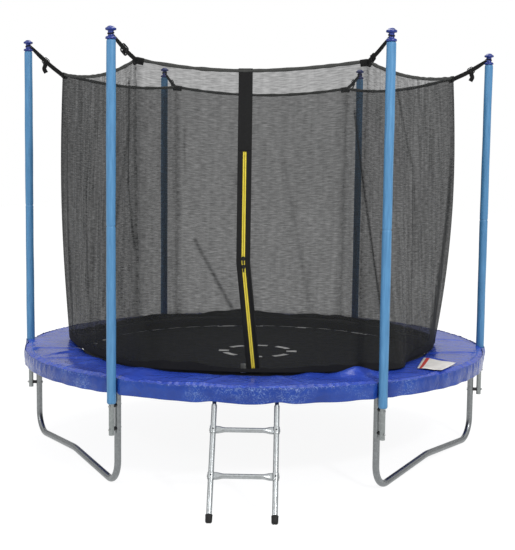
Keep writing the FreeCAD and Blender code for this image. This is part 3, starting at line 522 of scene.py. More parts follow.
def side_frame(side):
    """Outward and sideways directions of a net side; side 0 is the front, then anticlockwise."""
    angle = -np.pi / 2 + np.asarray(side) * np.pi / 3
    outward = np.stack([np.cos(angle), np.sin(angle), 0 * angle], -1)
    sideways = np.stack([-np.sin(angle), np.cos(angle), 0 * angle], -1)
    return outward, sideways


def turn_gap(turns, centre):
    """How far round the ring two places are, in turns, the short way."""
    return np.abs((turns - centre + 0.5) % 1 - 0.5)


def net_shape(side, a, t):
    """Out-distance, half width and height of the net without folds.

    a runs from -1 to 1 across a side and t from 0 at the hem to 1 at the pad. The top is a
    straight side bowed in by 14 mm and sagging by (1 - a^2); the bottom is nearly a circle."""
    half = np.pi / 6
    top_out = NET_CORNER_TOP * math.cos(half) - 0.014 * (1 - a ** 2)
    low_out = NET_CORNER_BOTTOM * math.cos(half) + 0.062 * (1 - a ** 2)
    lean = np.where(side == 0, -0.18, 0.0) * a
    sag = NET_SAG * (1 + 0.2 * np.cos(2.1 * side + 0.5)) * (1 - a ** 2) * (1 + lean)
    top_z = NET_TOP - sag
    out = top_out * (1 - t) + low_out * t
    wide = math.sin(half) * (NET_CORNER_TOP * (1 - t) + NET_CORNER_BOTTOM * t)
    return out, wide, top_z * (1 - t) + NET_BOTTOM * t


def looseness(side, a):
    """How slack the net is: 0.22 where it is held tight, rising by bells to 1 on sides 1 and 5."""
    turns = (side + (a + 1) / 2) / 6
    return 0.22 + 0.78 * (bell(turn_gap(turns, 0.25), 0.075)
                          + bell(turn_gap(turns, 11 / 12), 0.075))


def net_folds(side, a, t):
    """Outward push: upright waves, strongest where the net is slack, creases that fan out from
    the corners and fade downwards, a swell of the foot over the pad at the front right (a bell in
    turns times t^4), a dip at the right corner, and corners bowed out at mid height."""
    turns = (side + (a + 1) / 2) / 6
    swell = (0.095 * bell(turn_gap(turns, 0.203), 0.022)
             - 0.032 * bell(turn_gap(turns, 1 / 3), 0.024))
    inside = np.clip(t, 0, 1)
    middle = np.sin(np.pi * inside) ** 0.7
    upright = ripple(turns + 0.004 * t, 46, 3) * (0.55 + 0.45 * ripple(turns, 9, 4))
    slow = ripple(turns + 0.012 * t, 13, 8)
    fan = np.cos(38 * (1 - np.abs(a)) / (0.25 + inside)) * bell(1 - np.abs(a), 0.22) * (
        1 - inside) ** 2
    return middle * looseness(side, a) * (0.010 * upright + 0.013 * slow) + \
        0.004 * fan * np.sin(np.pi * inside) + swell * np.clip(t, 0, 1.1) ** 4 + \
        np.sin(np.pi * inside) * (0.034 * bell(turn_gap(turns, 1 / 3), 0.045)
                                  + 0.022 * bell(turn_gap(turns, 5 / 6), 0.045))


def net_points(side, a, t, lift=0.0):
    """Points on the net: out (outward) + a wide (sideways) + z, pushed away from the middle by
    the folds and lift."""
    side, a, t = np.broadcast_arrays(side, a, t)
    out, wide, z = net_shape(side, a, t)
    outward, sideways = side_frame(side)
    points = out[..., None] * outward + (a * wide)[..., None] * sideways
    push = net_folds(side, a, t) + lift
    points = points * (1 + push / np.hypot(points[..., 0], points[..., 1]))[..., None]
    points[..., 2] = z
    return points


def front_params(x, z):
    """The a and t of a place (x, z) on the front side, found by repeating the two formulas."""
    x, z = np.broadcast_arrays(np.asarray(x, float), np.asarray(z, float))
    a, t = x / SIDE_HALF_WIDTH, (NET_TOP - z) / (NET_TOP - NET_BOTTOM)
    for _ in range(6):
        top_z = net_shape(np.zeros_like(a), a, np.zeros_like(a))[2]
        t = (top_z - z) / (top_z - NET_BOTTOM)
        a = x / net_shape(np.zeros_like(a), a, t)[1]
    return a, t


def on_front(x, z, lift=0.0):
    """Points on the front of the net at (x, z), lift metres in front of it."""
    a, t = front_params(x, z)
    return net_points(np.zeros_like(a), a, np.clip(t, -0.01, 1.02), lift)


ZIP_UP = np.array(JOINTS["zip_upper_slide"]["axis"])
ZIP_DOWN = np.array(JOINTS["zip_lower_slide"]["axis"])
SLIDERS = {name: (low(name) + high(name)) / 2 for name in ("zip_slider_upper", "zip_slider_lower")}
NET_FRONT = -SLIDERS["zip_slider_upper"][1]
ZIP_BOTTOM, ZIP_TOP = low("zip_tape_left")[2], high("zip_tape_right")[2]
SLOPE_UP = ZIP_UP[0] / ZIP_UP[2]
SLOPE_DOWN = ZIP_DOWN[0] / ZIP_DOWN[2]
# the two straight runs of the zip cross at its middle
UPPER_START = SLIDERS["zip_slider_upper"][0] - SLOPE_UP * SLIDERS["zip_slider_upper"][2]
LOWER_START = SLIDERS["zip_slider_lower"][0] - SLOPE_DOWN * SLIDERS["zip_slider_lower"][2]
ZIP_MIDDLE = (LOWER_START - UPPER_START) / (SLOPE_UP - SLOPE_DOWN)
STRIP_HALF = 0.0325


def zip_x(z):
    """The zip's centre line: two straight runs that meet at its middle, straight up above."""
    z = np.asarray(z, float)
    below = LOWER_START + SLOPE_DOWN * np.maximum(z, ZIP_BOTTOM)
    above = UPPER_START + SLOPE_UP * np.minimum(z, ZIP_TOP)
    return np.where(z < ZIP_MIDDLE, below, above)


def front_cloth(z_low, z_high, left, right, lift, rows, columns):
    """A strip of cloth on the front beside the zip, from left to right of its centre line."""
    z = np.linspace(z_low, z_high, rows)[:, None]
    x = zip_x(z) + np.linspace(left, right, columns)[None, :]
    points = on_front(x, np.broadcast_to(z, x.shape))
    points[..., 1] = -NET_FRONT + lift_of_strip(z, lift)
    return grid(points, right - left, z_high - z_low)


def lift_of_strip(z, lift):
    """The strip hangs flat where the sliders run and eases to the net at top and bottom."""
    top = np.clip((z - ZIP_TOP) / 0.30, 0, 1)
    bottom = np.clip((ZIP_BOTTOM + 0.006 - z) / 0.05, 0, 1)
    return -lift + 0.022 * top ** 2 * (3 - 2 * top) - 0.012 * bottom ** 2 * (3 - 2 * bottom)


def near_line(side, a, t, on_side, start, end, width):
    """Bell of the distance to a straight fold from start to end, both (a, t), on one side."""
    if side != on_side:
        return 0.0 * a
    shape = np.array([SIDE_HALF_WIDTH, 1.44])
    first, last = np.array(start) * shape, np.array(end) * shape
    x, y = a * shape[0] - first[0], t * shape[1] - first[1]
    run = last - first
    share = np.clip((x * run[0] + y * run[1]) / (run @ run), 0, 1)
    return bell(np.hypot(x - share * run[0], y - share * run[1]), width)


# sides whose mesh is drawn denser, and by how much
SIDE_COVER = {1: 0.09, 2: 0.05, 4: 0.07, 5: 0.14}

# single folds: side, start and end as (a, t), half width in metres, extra cover
FOLDS = ((5, (0.80, 0.05), (0.80, 0.38), 0.011, 0.26),
         (5, (0.80, 0.38), (0.95, 0.60), 0.012, 0.16),
         (5, (-0.35, 0.10), (-0.10, 0.75), 0.016, 0.10),
         (5, (-0.80, 0.20), (-0.72, 0.95), 0.014, 0.14),
         (0, (-0.49, 0.56), (-0.13, 0.80), 0.009, 0.24),
         (0, (-0.59, 0.20), (-0.58, 0.34), 0.006, 0.12),
         (2, (0.80, 0.09), (0.22, 1.00), 0.010, 0.34),
         (3, (0.30, 0.35), (0.05, 0.95), 0.018, 0.10),
         (0, (0.30, 0.30), (0.62, 0.92), 0.012, 0.09),
         (4, (-0.10, 0.15), (0.30, 0.90), 0.016, 0.12),
         (1, (-0.35, 0.05), (0.02, 0.34), 0.010, 0.16),
         (1, (0.10, 0.30), (-0.12, 0.95), 0.012, 0.12))


def safety_net():
    """One grid for each side and two at the front, one each side of the door strip."""
    rows, across = 72, 96
    t = np.linspace(0, 1, rows)[:, None]
    share = np.linspace(0, 1, across)[None, :]

    def edge(sign):
        z = NET_TOP + (NET_BOTTOM - NET_TOP) * t
        a, _ = front_params(zip_x(z) + sign * (STRIP_HALF - 0.004), z)
        return a

    sides = [(0, edge(1), np.ones_like(t))]
    sides += [(side, -np.ones_like(t), np.ones_like(t)) for side in range(1, 6)]
    sides += [(0, -np.ones_like(t), edge(-1))]
    blocks, gathers, slack = [], [], []
    for number, (side, start, end) in enumerate(sides):
        a = start + (end - start) * share
        tall = np.broadcast_to(t, a.shape)
        blocks.append(grid(net_points(np.full_like(a, side), a, tall),
                           0.53 * float(np.mean(end - start)), NET_TOP - NET_BOTTOM,
                           start=1.7 * number))
        closed = 0.12 * bell(1 - np.abs(a), 0.05) + 0.25 * bell(tall - 1, 0.02)
        closed = closed + SIDE_COVER.get(side, 0.0)
        if side == 1:
            middle = 0.90 - 0.38 * np.clip((tall - 0.20) / 0.8, 0, 1) ** 1.4
            wide = 0.035 + 0.11 * tall ** 2
            closed = closed + 0.27 * np.clip((tall - 0.2) / 0.3, 0, 1) * np.exp(
                -((a - middle) / wide) ** 4)
        for fold_side, first, last, width, cover in FOLDS:
            closed = closed + cover * near_line(side, a, tall, fold_side, first, last, width)
        gathers.append(closed.ravel())
        slack.append(looseness(side, a).ravel())
    net = piece("safety_net", blocks, MESH, outward="radial",
                values={"gather": np.concatenate(gathers), "loose": np.concatenate(slack)})
    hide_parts("net_panel_front_left", "net_panel_front_right",
                *[f"net_panel_{number}" for number in range(1, 6)])


def net_hems():
    """The rolled top hem, a closed loop of flattened roll, with webbing sleeves at its corners."""
    count = 64
    side = np.repeat(np.arange(6), count)
    a = np.tile(np.linspace(-1, 1, count, endpoint=False), 6)
    path = net_points(side, a, np.zeros_like(a))
    path[:, 2] += 0.004
    turns = np.arange(len(path)) / len(path)
    swell = 1 + 0.16 * ripple(turns, 60, 11)
    section = disc(0.0062, 0.0084, 14)[None] * swell[:, None, None]
    loop = sweep(path, section, (0, 0, 1), closed=True)
    hem = piece("net_top_hem_roll", [grid(loop, 0.045, 6.3, around=True)], MESH_ROLL)
    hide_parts("net_top_hem")
    tabs = []
    for corner in range(6):
        at = np.linspace(-0.055, 0.055, 12)
        sides = np.where(at < 0, (corner - 1) % 6, corner)
        across = np.where(at < 0, 1 + at * 1.1, -1 + at * 1.1)
        tab_path = net_points(sides, across, np.zeros_like(at))
        tab_path[:, 2] -= 0.002
        tabs.append(grid(sweep(tab_path, disc(0.0098, 0.0165, 14), (0, 0, 1)), 0.06, 0.06,
                         around=True))
    wraps = piece("net_corner_wraps", tabs, WEBBING)


def bottom_hem():
    """The black cloth band at the foot of the net: down the net, over the pad's inner edge, then
    down to the edge of the mat. Its upper edge waves by up to 20 mm."""
    count = 540
    turns = np.arange(count) / count
    place = turns * 6
    side = np.floor(place)
    a = (place - side) * 2 - 1
    rise = 0.030 + 0.016 * ripple(turns, 7, 21) + 0.004 * ripple(turns, 30, 22)
    upper_t = 1 - np.maximum(rise, 0.006) / (NET_TOP - NET_BOTTOM)
    down = np.linspace(0, 1, 8)[:, None]
    t = upper_t + (1 - upper_t) * down
    wall = net_points(side, a, t, 0.0012)
    foot = wall[-1]
    radius = np.hypot(foot[:, 0], foot[:, 1])
    way = np.linspace(0, 1, 10)[1:, None]
    inward = 1 - (1 - np.minimum(way * 1.9, 1)) ** 2
    new_radius = radius + (HEM_INNER - radius) * inward
    scale = new_radius / radius
    drop = np.maximum(way - 0.35, 0) / 0.65
    z = foot[:, 2] + (MAT_TOP + 0.0008 - foot[:, 2]) * drop ** 1.1
    lower_part = np.stack([foot[:, 0] * scale, foot[:, 1] * scale, z], -1)
    band = piece("net_bottom_hem_band",
                 [grid(np.concatenate([wall, lower_part]), 6.0, 0.11, around=True)],
                 HEM_CLOTH, body=None, outward="radial")
    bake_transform(band)
    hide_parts("net_bottom_hem")


def door_strip():
    """The solid black strip: two halves beside the zip, joined above it, turned over the hem. In
    it a yellow guard that closes the slit behind the coils, two tapes, two rows of coil beads half
    a pitch apart, and a blank tag at the foot."""
    gap = 0.0072
    foot = NET_BOTTOM - 0.030
    top = NET_TOP - NET_SAG * 1.18 + 0.014
    join = ZIP_TOP + 0.004
    grids = [front_cloth(foot, join, -STRIP_HALF, -gap, 0.0, 90, 8),
             front_cloth(foot, join, gap, STRIP_HALF, 0.0, 90, 8),
             front_cloth(join, top, -STRIP_HALF, STRIP_HALF, 0.0, 40, 16)]
    strip = piece("door_strip", grids, HEM_CLOTH, outward="radial", wall=0.0014)
    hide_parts("door_strip_left", "door_strip_right")
    guard = piece("zip_guard", [front_cloth(ZIP_BOTTOM - 0.01, ZIP_TOP + 0.01, -0.008, 0.008,
                                            -0.0056, 90, 5)], ZIP_TAPE, outward="radial",
                  wall=0.0006)
    tapes = [front_cloth(ZIP_BOTTOM, ZIP_TOP, near, far, 0.0010, 90, 5)
             for near, far in ((-0.0078, -0.0017), (0.0017, 0.0078))]
    tape = piece("zip_tapes", tapes, ZIP_TAPE, outward="radial", wall=0.0010)
    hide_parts("zip_tape_left", "zip_tape_right")
    pitch = 0.0034
    count = int((ZIP_TOP - ZIP_BOTTOM) / pitch)
    z = ZIP_BOTTOM + pitch * (np.arange(count) + 0.5)
    bead = lathe(rounded([(0, -0.0018), (0.0008, -0.0018), (0.0008, 0.0018), (0, 0.0018)], 0.3, 3),
                 6)
    bead = bead[..., [2, 1, 0]]
    rows = []
    for sign, shift in ((-1, 0.0), (1, pitch / 2)):
        height = z + shift * 0.9
        place = np.stack([zip_x(height) + sign * 0.0030, -NET_FRONT - 0.0021 + 0 * height,
                          height], -1)
        rows.append(grid(bead[None] + place[:, None, None], 0.005, 0.005, around=True))
    teeth = piece("zip_coils", rows, TEETH)
    tag_path = np.array([[-0.0240, -NET_FRONT - 0.0010, 0.574],
                         [-0.0242, -NET_FRONT - 0.0035, 0.560],
                         [-0.0238, -NET_FRONT - 0.0060, 0.545],
                         [-0.0240, -NET_FRONT - 0.0100, 0.531]])
    tag = piece("care_tag", [grid(sweep(smooth_path(tag_path, 16), flat_band(0.024, 0.0008),
                                        (0, 1, 0)), 0.05, 0.043, around=True)], TAG)


def zip_sliders():
    """Cast sliders: a rounded body on each face of the tape, joined by a post, with a hanging
    pull tab."""
    half_height, wide, thick = 0.0098, 0.0164, 0.0022
    for name, body, sign in (("zip_slider_upper", "zip_upper", 1),
                             ("zip_slider_lower", "zip_lower", -1)):
        centre = SLIDERS[name]
        height = np.linspace(-half_height, half_height, 14)
        wedge = 1 - 0.16 * sign * height / half_height
        round_off = np.sqrt(np.clip(1 - (height / 0.0102) ** 6, 0.05, 1))
        path = np.stack([0 * height, 0 * height, height], -1)
        section = flat_band(wide, thick, 20)[None] * (wedge * round_off)[:, None, None]
        front = sweep(path, section, (0, 1, 0)) + centre + np.array([0, -0.0031, 0])
        back = sweep(path, section, (0, 1, 0)) + centre + np.array([0, 0.0031, 0])
        post = sweep(np.array([[0, -0.003, 0], [0, 0, 0], [0, 0.003, 0]]),
                     disc(0.0009, 0.004, 12), (0, 0, 1)) + centre
        arch = smooth_path([(0, -0.0040, 0.006), (0, -0.0068, 0.004), (0, -0.0068, -0.003),
                            (0, -0.0040, -0.005)], 12)
        bridge = sweep(arch, disc(0.0013, 0.0009, 8), (1, 0, 0)) + centre
        hang = np.linspace(0, 0.026, 12)
        tab_path = np.stack([0.0006 * np.sin(60 * hang), -0.0070 - 0.05 * hang, 0.001 - hang], -1)
        tab = sweep(tab_path, flat_band(0.0072, 0.0016, 16), (0, 1, 0)) + centre
        parts = [grid(shape, 0.03, 0.02, around=True)
                 for shape in (front, back, post, bridge, tab)]
        slider = piece(name + "_body", parts, BLACK_PLASTIC, body=body)
        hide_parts(name)


# --- straps, buckles, caps and sleeves ------------------------------------------------

NECK_LIFT = 0.0235
TAILS = {1: (0.018, -0.3), 2: (0.014, 0.5), 3: (0.056, 0.2), 4: (0.050, 0.9), 5: (0.030, -0.5),
         6: (0.062, -0.2)}
BUCKLE_PLACE = {1: 0.66, 2: 0.84, 3: 0.62, 4: 0.60, 5: 0.70, 6: 0.62}


def strap_line(number, count=40):
    """A strap's middle line on the +X side, from the cap's neck to the net's corner."""
    top = POLE_TOPS[number]
    start = np.array([POLE_RADIUS - 0.0260, 0, top + 0.012])
    end = np.array([NET_CORNER_TOP - 0.002, 0, NET_TOP - 0.004])
    droop = np.array([0, 0, -0.006])
    return smooth_path([(POLE_RADIUS - 0.0160, 0, top + NECK_LIFT + 0.004), start,
                        start * 0.5 + end * 0.5 + droop, end], count)


def net_straps():
    """Webbing on edge from each neck to the net's corner, its loop, and the tail that hangs from
    the buckle; the width eases from 10 mm at the neck to 23 mm."""
    webs, buckles = [], []
    neck_loop = 0.0150
    for number, angle in POLE_TURNS.items():
        line = strap_line(number)
        wide = 0.010 + 0.013 * np.clip(np.linspace(-0.3, 2.2, len(line)), 0, 1)
        flat = np.stack([flat_band(0.0018, each) for each in wide])
        webs.append(grid(turned(sweep(line, flat, (0, 0, 1)), angle), 0.05, 0.21, around=True))
        a = np.linspace(0, TAU, 40, endpoint=False)
        loop = np.stack([POLE_RADIUS + neck_loop * np.cos(a), neck_loop * np.sin(a),
                         POLE_TOPS[number] + NECK_LIFT + 0.0035 - 0.0035 * np.cos(a)], -1)
        webs.append(grid(turned(sweep(loop, flat_band(0.0016, 0.006), (0, 0, 1), closed=True),
                                angle), 0.05, 0.10, around=True))
        length, swing = TAILS[number]
        at = line[int(BUCKLE_PLACE[number] * 39)]
        tail = smooth_path([at + (0.006, -0.002, -0.004),
                            at + (0.002, 0.002 * swing - 0.002, -0.008 - 0.2 * length),
                            at + (0.002 + 0.10 * length, 0.2 * swing * length, -0.65 * length),
                            at + (-0.002, 0.3 * swing * length, -length)], 24)
        webs.append(grid(turned(sweep(tail, flat_band(0.023, 0.0018), (0, 1, 0)), angle), 0.05,
                         length, around=True))
        along = unit(line[-1] - line[0])
        face = np.array([0, 1.0, 0]) * (-1 if number in (1, 5, 6) else 1)
        buckle_size = 1.45 if number == 1 else 1.0
        buckles += [grid(turned(shape, angle), 0.03, 0.03, around=True)
                    for shape in triglide(at, along, face, buckle_size)]
    straps = piece("net_webbing_straps", webs, WEBBING)
    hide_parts("net_straps")
    fastenings = piece("ladderlock_buckles", buckles, BLACK_PLASTIC)
    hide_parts("strap_buckles")


def triglide(at, along, face, size):
    """A buckle: a rounded loop |x|^2.5 + |y|^2.5 = 1 round the strap, with two cross bars."""
    across = np.cross(face, along)
    a = np.linspace(0, TAU, 36, endpoint=False)
    c, s = np.cos(a), np.sin(a)
    x = 0.0155 * size * np.sign(c) * np.abs(c) ** 0.4
    y = 0.0165 * size ** 0.5 * np.sign(s) * np.abs(s) ** 0.4
    rim = at + x[:, None] * along + y[:, None] * across + 0.0030 * face
    shapes = [sweep(rim, disc(0.0024 * size, 0.0028 * size, 10), face, closed=True)]
    for shift, lift in ((-0.005, 0.0042), (0.006, -0.0036)):
        bar = np.linspace(-0.0155, 0.0155, 8)[:, None] * across + at + shift * along + lift * face
        shapes.append(sweep(bar, disc(0.0024 * size, 0.0018, 10), face))
    return shapes


def pole_caps():
    """Moulded spool: profile of collar, neck and domed flange turned about each pole."""
    stem = TUBE_RADIUS - 0.0022
    caps = []
    for number, angle in POLE_TURNS.items():
        z0 = POLE_TOPS[number]
        z1 = z0 + 0.060
        profile = [(0, z0 - 0.024), (stem, z0 - 0.024), (stem, z0 + 0.0004), (0.0236, z0 + 0.0004),
                   (0.0244, z0 + 0.003), (0.0240, z0 + 0.0095), (0.0210, z0 + 0.0120),
                   (0.0140, z0 + 0.0135), (0.0130, z0 + 0.018), (0.0130, z1 - 0.024),
                   (0.0150, z1 - 0.0215), (0.0238, z1 - 0.0200), (0.0250, z1 - 0.0165),
                   (0.0246, z1 - 0.0110), (0.0180, z1 - 0.0080), (0.0145, z1 - 0.0035),
                   (0.0090, z1 - 0.0008), (0, z1)]
        caps.append(grid(lathe(rounded(profile, 0.3, 4), 40, (POLE_RADIUS * math.cos(angle),
                                                              POLE_RADIUS * math.sin(angle))),
                         0.15, 0.10, around=True))
    spools = piece("pole_cap_spools", caps, CAP)
    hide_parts("pole_caps")


def pole_sleeves():
    """Foam tube: the CAD sleeve's radius with slight dents, pinched at the pole's joint and
    rolled in at both ends; its line wanders by a millimetre."""
    sides, bore_radius = 36, 0.0130
    for number, angle in POLE_TURNS.items():
        node = f"pole_sleeve_{number}"
        z0, z1 = low(node)[2], high(node)[2]
        joint = low(f"pole_upper_{number}")[2]
        z = np.concatenate([np.linspace(z0, z0 + 0.012, 6)[:-1],
                            np.linspace(z0 + 0.012, joint - 0.014, 60),
                            joint + np.array([-0.008, -0.004, -0.0015, 0.0015, 0.004, 0.008]),
                            np.linspace(joint + 0.014, z1 - 0.012, 60),
                            np.linspace(z1 - 0.012, z1, 6)[1:]])
        a = np.arange(sides) * TAU / sides
        height = (z - z0)[:, None]
        pinch = 0.0020 * bell(z - joint, 0.0035)[:, None]
        end_roll = 0.0030 * (bell(z - z0, 0.0035) + bell(z - z1, 0.0035))[:, None]
        dents = 0.00045 * np.sin(2 * a + 7 * height + number) + 0.0003 * np.sin(
            3 * a - 19 * height + 2 * number)
        radius = SLEEVE_RADIUS - 0.0004 - pinch - end_roll + dents
        wander = 0.0009 * np.sin(2.3 * height + number)
        x = POLE_RADIUS + wander + radius * np.cos(a)
        y = 0.0009 * np.sin(3.1 * height + 2 * number) + radius * np.sin(a)
        wall = np.stack([x, y, np.broadcast_to(z[:, None], x.shape)], -1)
        bore = np.stack([POLE_RADIUS + bore_radius * np.cos(a), bore_radius * np.sin(a)], -1)

        def ring_at(level):
            return np.concatenate([bore, np.full((sides, 1), level)], -1)[None]

        inner_foot = ring_at(z0 + 0.001)
        shell = np.concatenate([inner_foot, wall, ring_at(z1 - 0.001), inner_foot])
        sleeve = piece(f"foam_sleeve_{number}", [grid(turned(shell, angle), 0.14, 1.65,
                                                      around=True)], SLEEVE)
        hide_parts(node)


# --- pad and skirt --------------------------------------------------------------------

def outer_edge(angle):
    """Radius of the pad's outer edge: pressed in where a front or back pole passes outside it,
    pushed out where a side pole stands inside the skirt."""
    radius = np.full_like(angle, PAD_OUTER - 0.001)
    for number, pole in POLE_TURNS.items():
        gap = arc_gap(angle, pole, POLE_RADIUS)
        if number in SIDE_POLES:
            radius = radius + 0.0265 * bell(gap, 0.046)
        else:
            radius = radius - 0.0225 * bell(gap, 0.034)
    return radius


def crazing_and_glint_places(angle):
    """Where the film is drawn with pale crazed lines, which are partly real and partly painted
    glints: most at the front by the door, some at the outer front sides.
    """
    door = bump(angle, -86, 0.30)
    sides = bump(angle, -56, 0.13) + bump(angle, -132, 0.16)
    return 0.36 + 0.36 * door + 0.22 * sides


def safety_pad():
    """A puffy ring. Across it the top rises as 1 - |2 s - 1|^4 between the edges; round it run
    radial creases, deepest at the puckered outer seam, and lumps along the inner edge."""
    columns = RING_COLUMNS
    turns = np.arange(columns) / columns
    angle = turns * TAU
    outer = outer_edge(angle)
    lumps = np.maximum(ripple(turns, 15, 31), 0)
    inner = PAD_INNER + 0.004 * ripple(turns, 26, 32)
    s = np.concatenate([np.linspace(0, 0.10, 7), np.linspace(0.14, 0.80, 20),
                        np.linspace(0.83, 1.0, 12)])[:, None]
    fill = 1 - np.abs(2 * s - 1) ** 4
    radius = inner + (outer - inner) * s
    patches = np.clip(0.35 + 0.8 * ripple(turns, 5, 38), 0, 1.4)
    creases = patches * (1.1 * ripple(turns + 0.006 * s, 44, 33) * s ** 2 + ripple(
        turns - 0.008 * s, 17, 34) * (1 - 0.4 * s))
    puckers = ripple(turns, 170, 35) * bell(1 - s, 0.13)
    ridge = 0.0035 * bell(s - 0.90 + 0.03 * ripple(turns, 11, 36), 0.035) * (
        1 + 0.5 * ripple(turns, 40, 37))
    top = PAD_TOP - 0.016 + 0.015 * fill + 0.0026 * creases + 0.0026 * puckers + ridge
    raised = 0.006 * lumps + 0.010 * bump(angle, -72, 0.06)
    top = top + raised * bell(s, 0.22)
    top = top + 0.034 * bump(angle, -60.5, 0.080) * bell(s - 0.33, 0.20)
    for centre, slant, tall in ((-163, 0.10, 0.006), (-154, -0.12, 0.008), (-146, 0.15, 0.007),
                                (-138, -0.06, 0.004), (-97, 0.12, 0.004), (-80, -0.1, 0.004),
                                (-28, 0.10, 0.006), (-14, -0.12, 0.007), (9, 0.10, 0.005)):
        crease = bump(angle + slant * (s - 0.5), centre, 0.016)
        top = top + tall * crease * np.sin(np.pi * s) ** 0.6
    top = top + 0.012 * bump(angle, -118, 0.10) * bell(s - 0.40, 0.25)
    bottom_height = PAD_BOTTOM + 0.001
    under = np.full((2, columns), bottom_height)
    radii = np.concatenate([radius, outer[None] - 0.002, inner[None] + 0.002])
    heights = np.concatenate([np.maximum(top, bottom_height + 0.002), under])
    ring = np.stack([radii * np.cos(angle), radii * np.sin(angle), heights], -1)
    seam = np.concatenate([s, np.ones((2, 1))])
    # painted highlight: the extra pale crazed lines near the outer seam (s near 0.92) stand in for
    # glints along its puckers
    crazing_and_glint_amount = crazing_and_glint_places(angle) * 0.93 + 0.20 * bell(seam - 0.92, 0.06)
    ring = np.concatenate([ring, ring[:1]])
    pad = piece("spring_pad", [grid(ring, 6.9, 0.60, around=True)], PAD,
                values={"crazing_and_glint_amount": np.concatenate([crazing_and_glint_amount, crazing_and_glint_amount[:1]])})
    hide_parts("safety_pad")


def pad_skirt():
    """The cloth that hangs from the pad's outer seam: a short puckered cylinder that eases out
    and waves by up to 4 mm at its foot, and stands clear of the ladder."""
    columns = RING_COLUMNS
    turns = np.arange(columns) / columns
    angle = turns * TAU
    s = np.linspace(0, 1, 20)[:, None]
    seam = PAD_TOP - 0.009 + 0.0018 * ripple(turns, 170, 35) + 0.002 * ripple(turns, 24, 34)
    rail_turn = math.asin(high("ladder_rail_right")[0] / PAD_OUTER)
    over_rails = bell(arc_gap(angle, -np.pi / 2 - rail_turn, 1.0), 0.035) + bell(
        arc_gap(angle, -np.pi / 2 + rail_turn, 1.0), 0.035)
    foot = SKIRT_BOTTOM + 0.0016 * ripple(turns, 24, 41) + 0.0065 * over_rails
    height = seam + (foot - seam) * s
    flare = 0.0034 * np.sin(np.pi * np.minimum(s * 1.25, 1)) + 0.0016 * s
    waves = 0.0024 * ripple(turns + 0.001 * s, 46, 42) * s + 0.0017 * ripple(
        turns + 0.002 * s, 110, 43) * bell(s - 0.25, 0.30)
    clear = np.ones_like(angle)
    for number, pole in POLE_TURNS.items():
        if number not in SIDE_POLES:
            clear = clear - 0.95 * bell(arc_gap(angle, pole, POLE_RADIUS), 0.040)
    radius = outer_edge(angle) + 0.0008 + (flare + waves) * clear
    radius = radius + 0.0090 * s * bump(angle, -90, 0.17)
    cloth = np.stack([radius * np.cos(angle), radius * np.sin(angle), height], -1)
    # painted highlight: the extra pale crazed lines at the top of the skirt, by the seam, stand in
    # for glints along it
    skirt = piece("pad_skirt_cloth", [grid(cloth, 7.8, 0.08, around=True)], SKIRT,
                  outward="radial", wall=0.0010,
                  values={"crazing_and_glint_amount": crazing_and_glint_places(angle) + 0.16 * bell(s, 0.14)})
    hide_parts("pad_skirt")


def pad_label():
    """A blank generic label stuck on the pad, with a red band along its inner side; each strip is
    the bilinear patch between four corners, just above the pad."""
    corners = np.array([[[0.880, -0.478], [1.022, -0.618]], [[0.812, -0.772], [0.925, -0.822]]])

    def patch(u0, u1, lift):
        u = np.linspace(u0, u1, 12)[None, :, None]
        v = np.linspace(0, 1, 14)[:, None, None]
        plan = ((1 - v) * ((1 - u) * corners[0, 0] + u * corners[0, 1])
                + v * ((1 - u) * corners[1, 0] + u * corners[1, 1]))
        z = PAD_TOP + lift + 0.0012 * np.sin(9 * u[..., 0] + 5 * v[..., 0])
        height = np.broadcast_to(z[..., None], (*plan.shape[:2], 1))
        return grid(np.concatenate([plan, height], -1))

    white = piece("blank_label", [patch(0.0, 1.0, 0.0060)], LABEL, outward="up", wall=0.0004)
    red = piece("label_band", [patch(0.08, 0.19, 0.0066)], LABEL_RED, outward="up", wall=0.0004)


# --- mat and springs ------------------------------------------------------------------

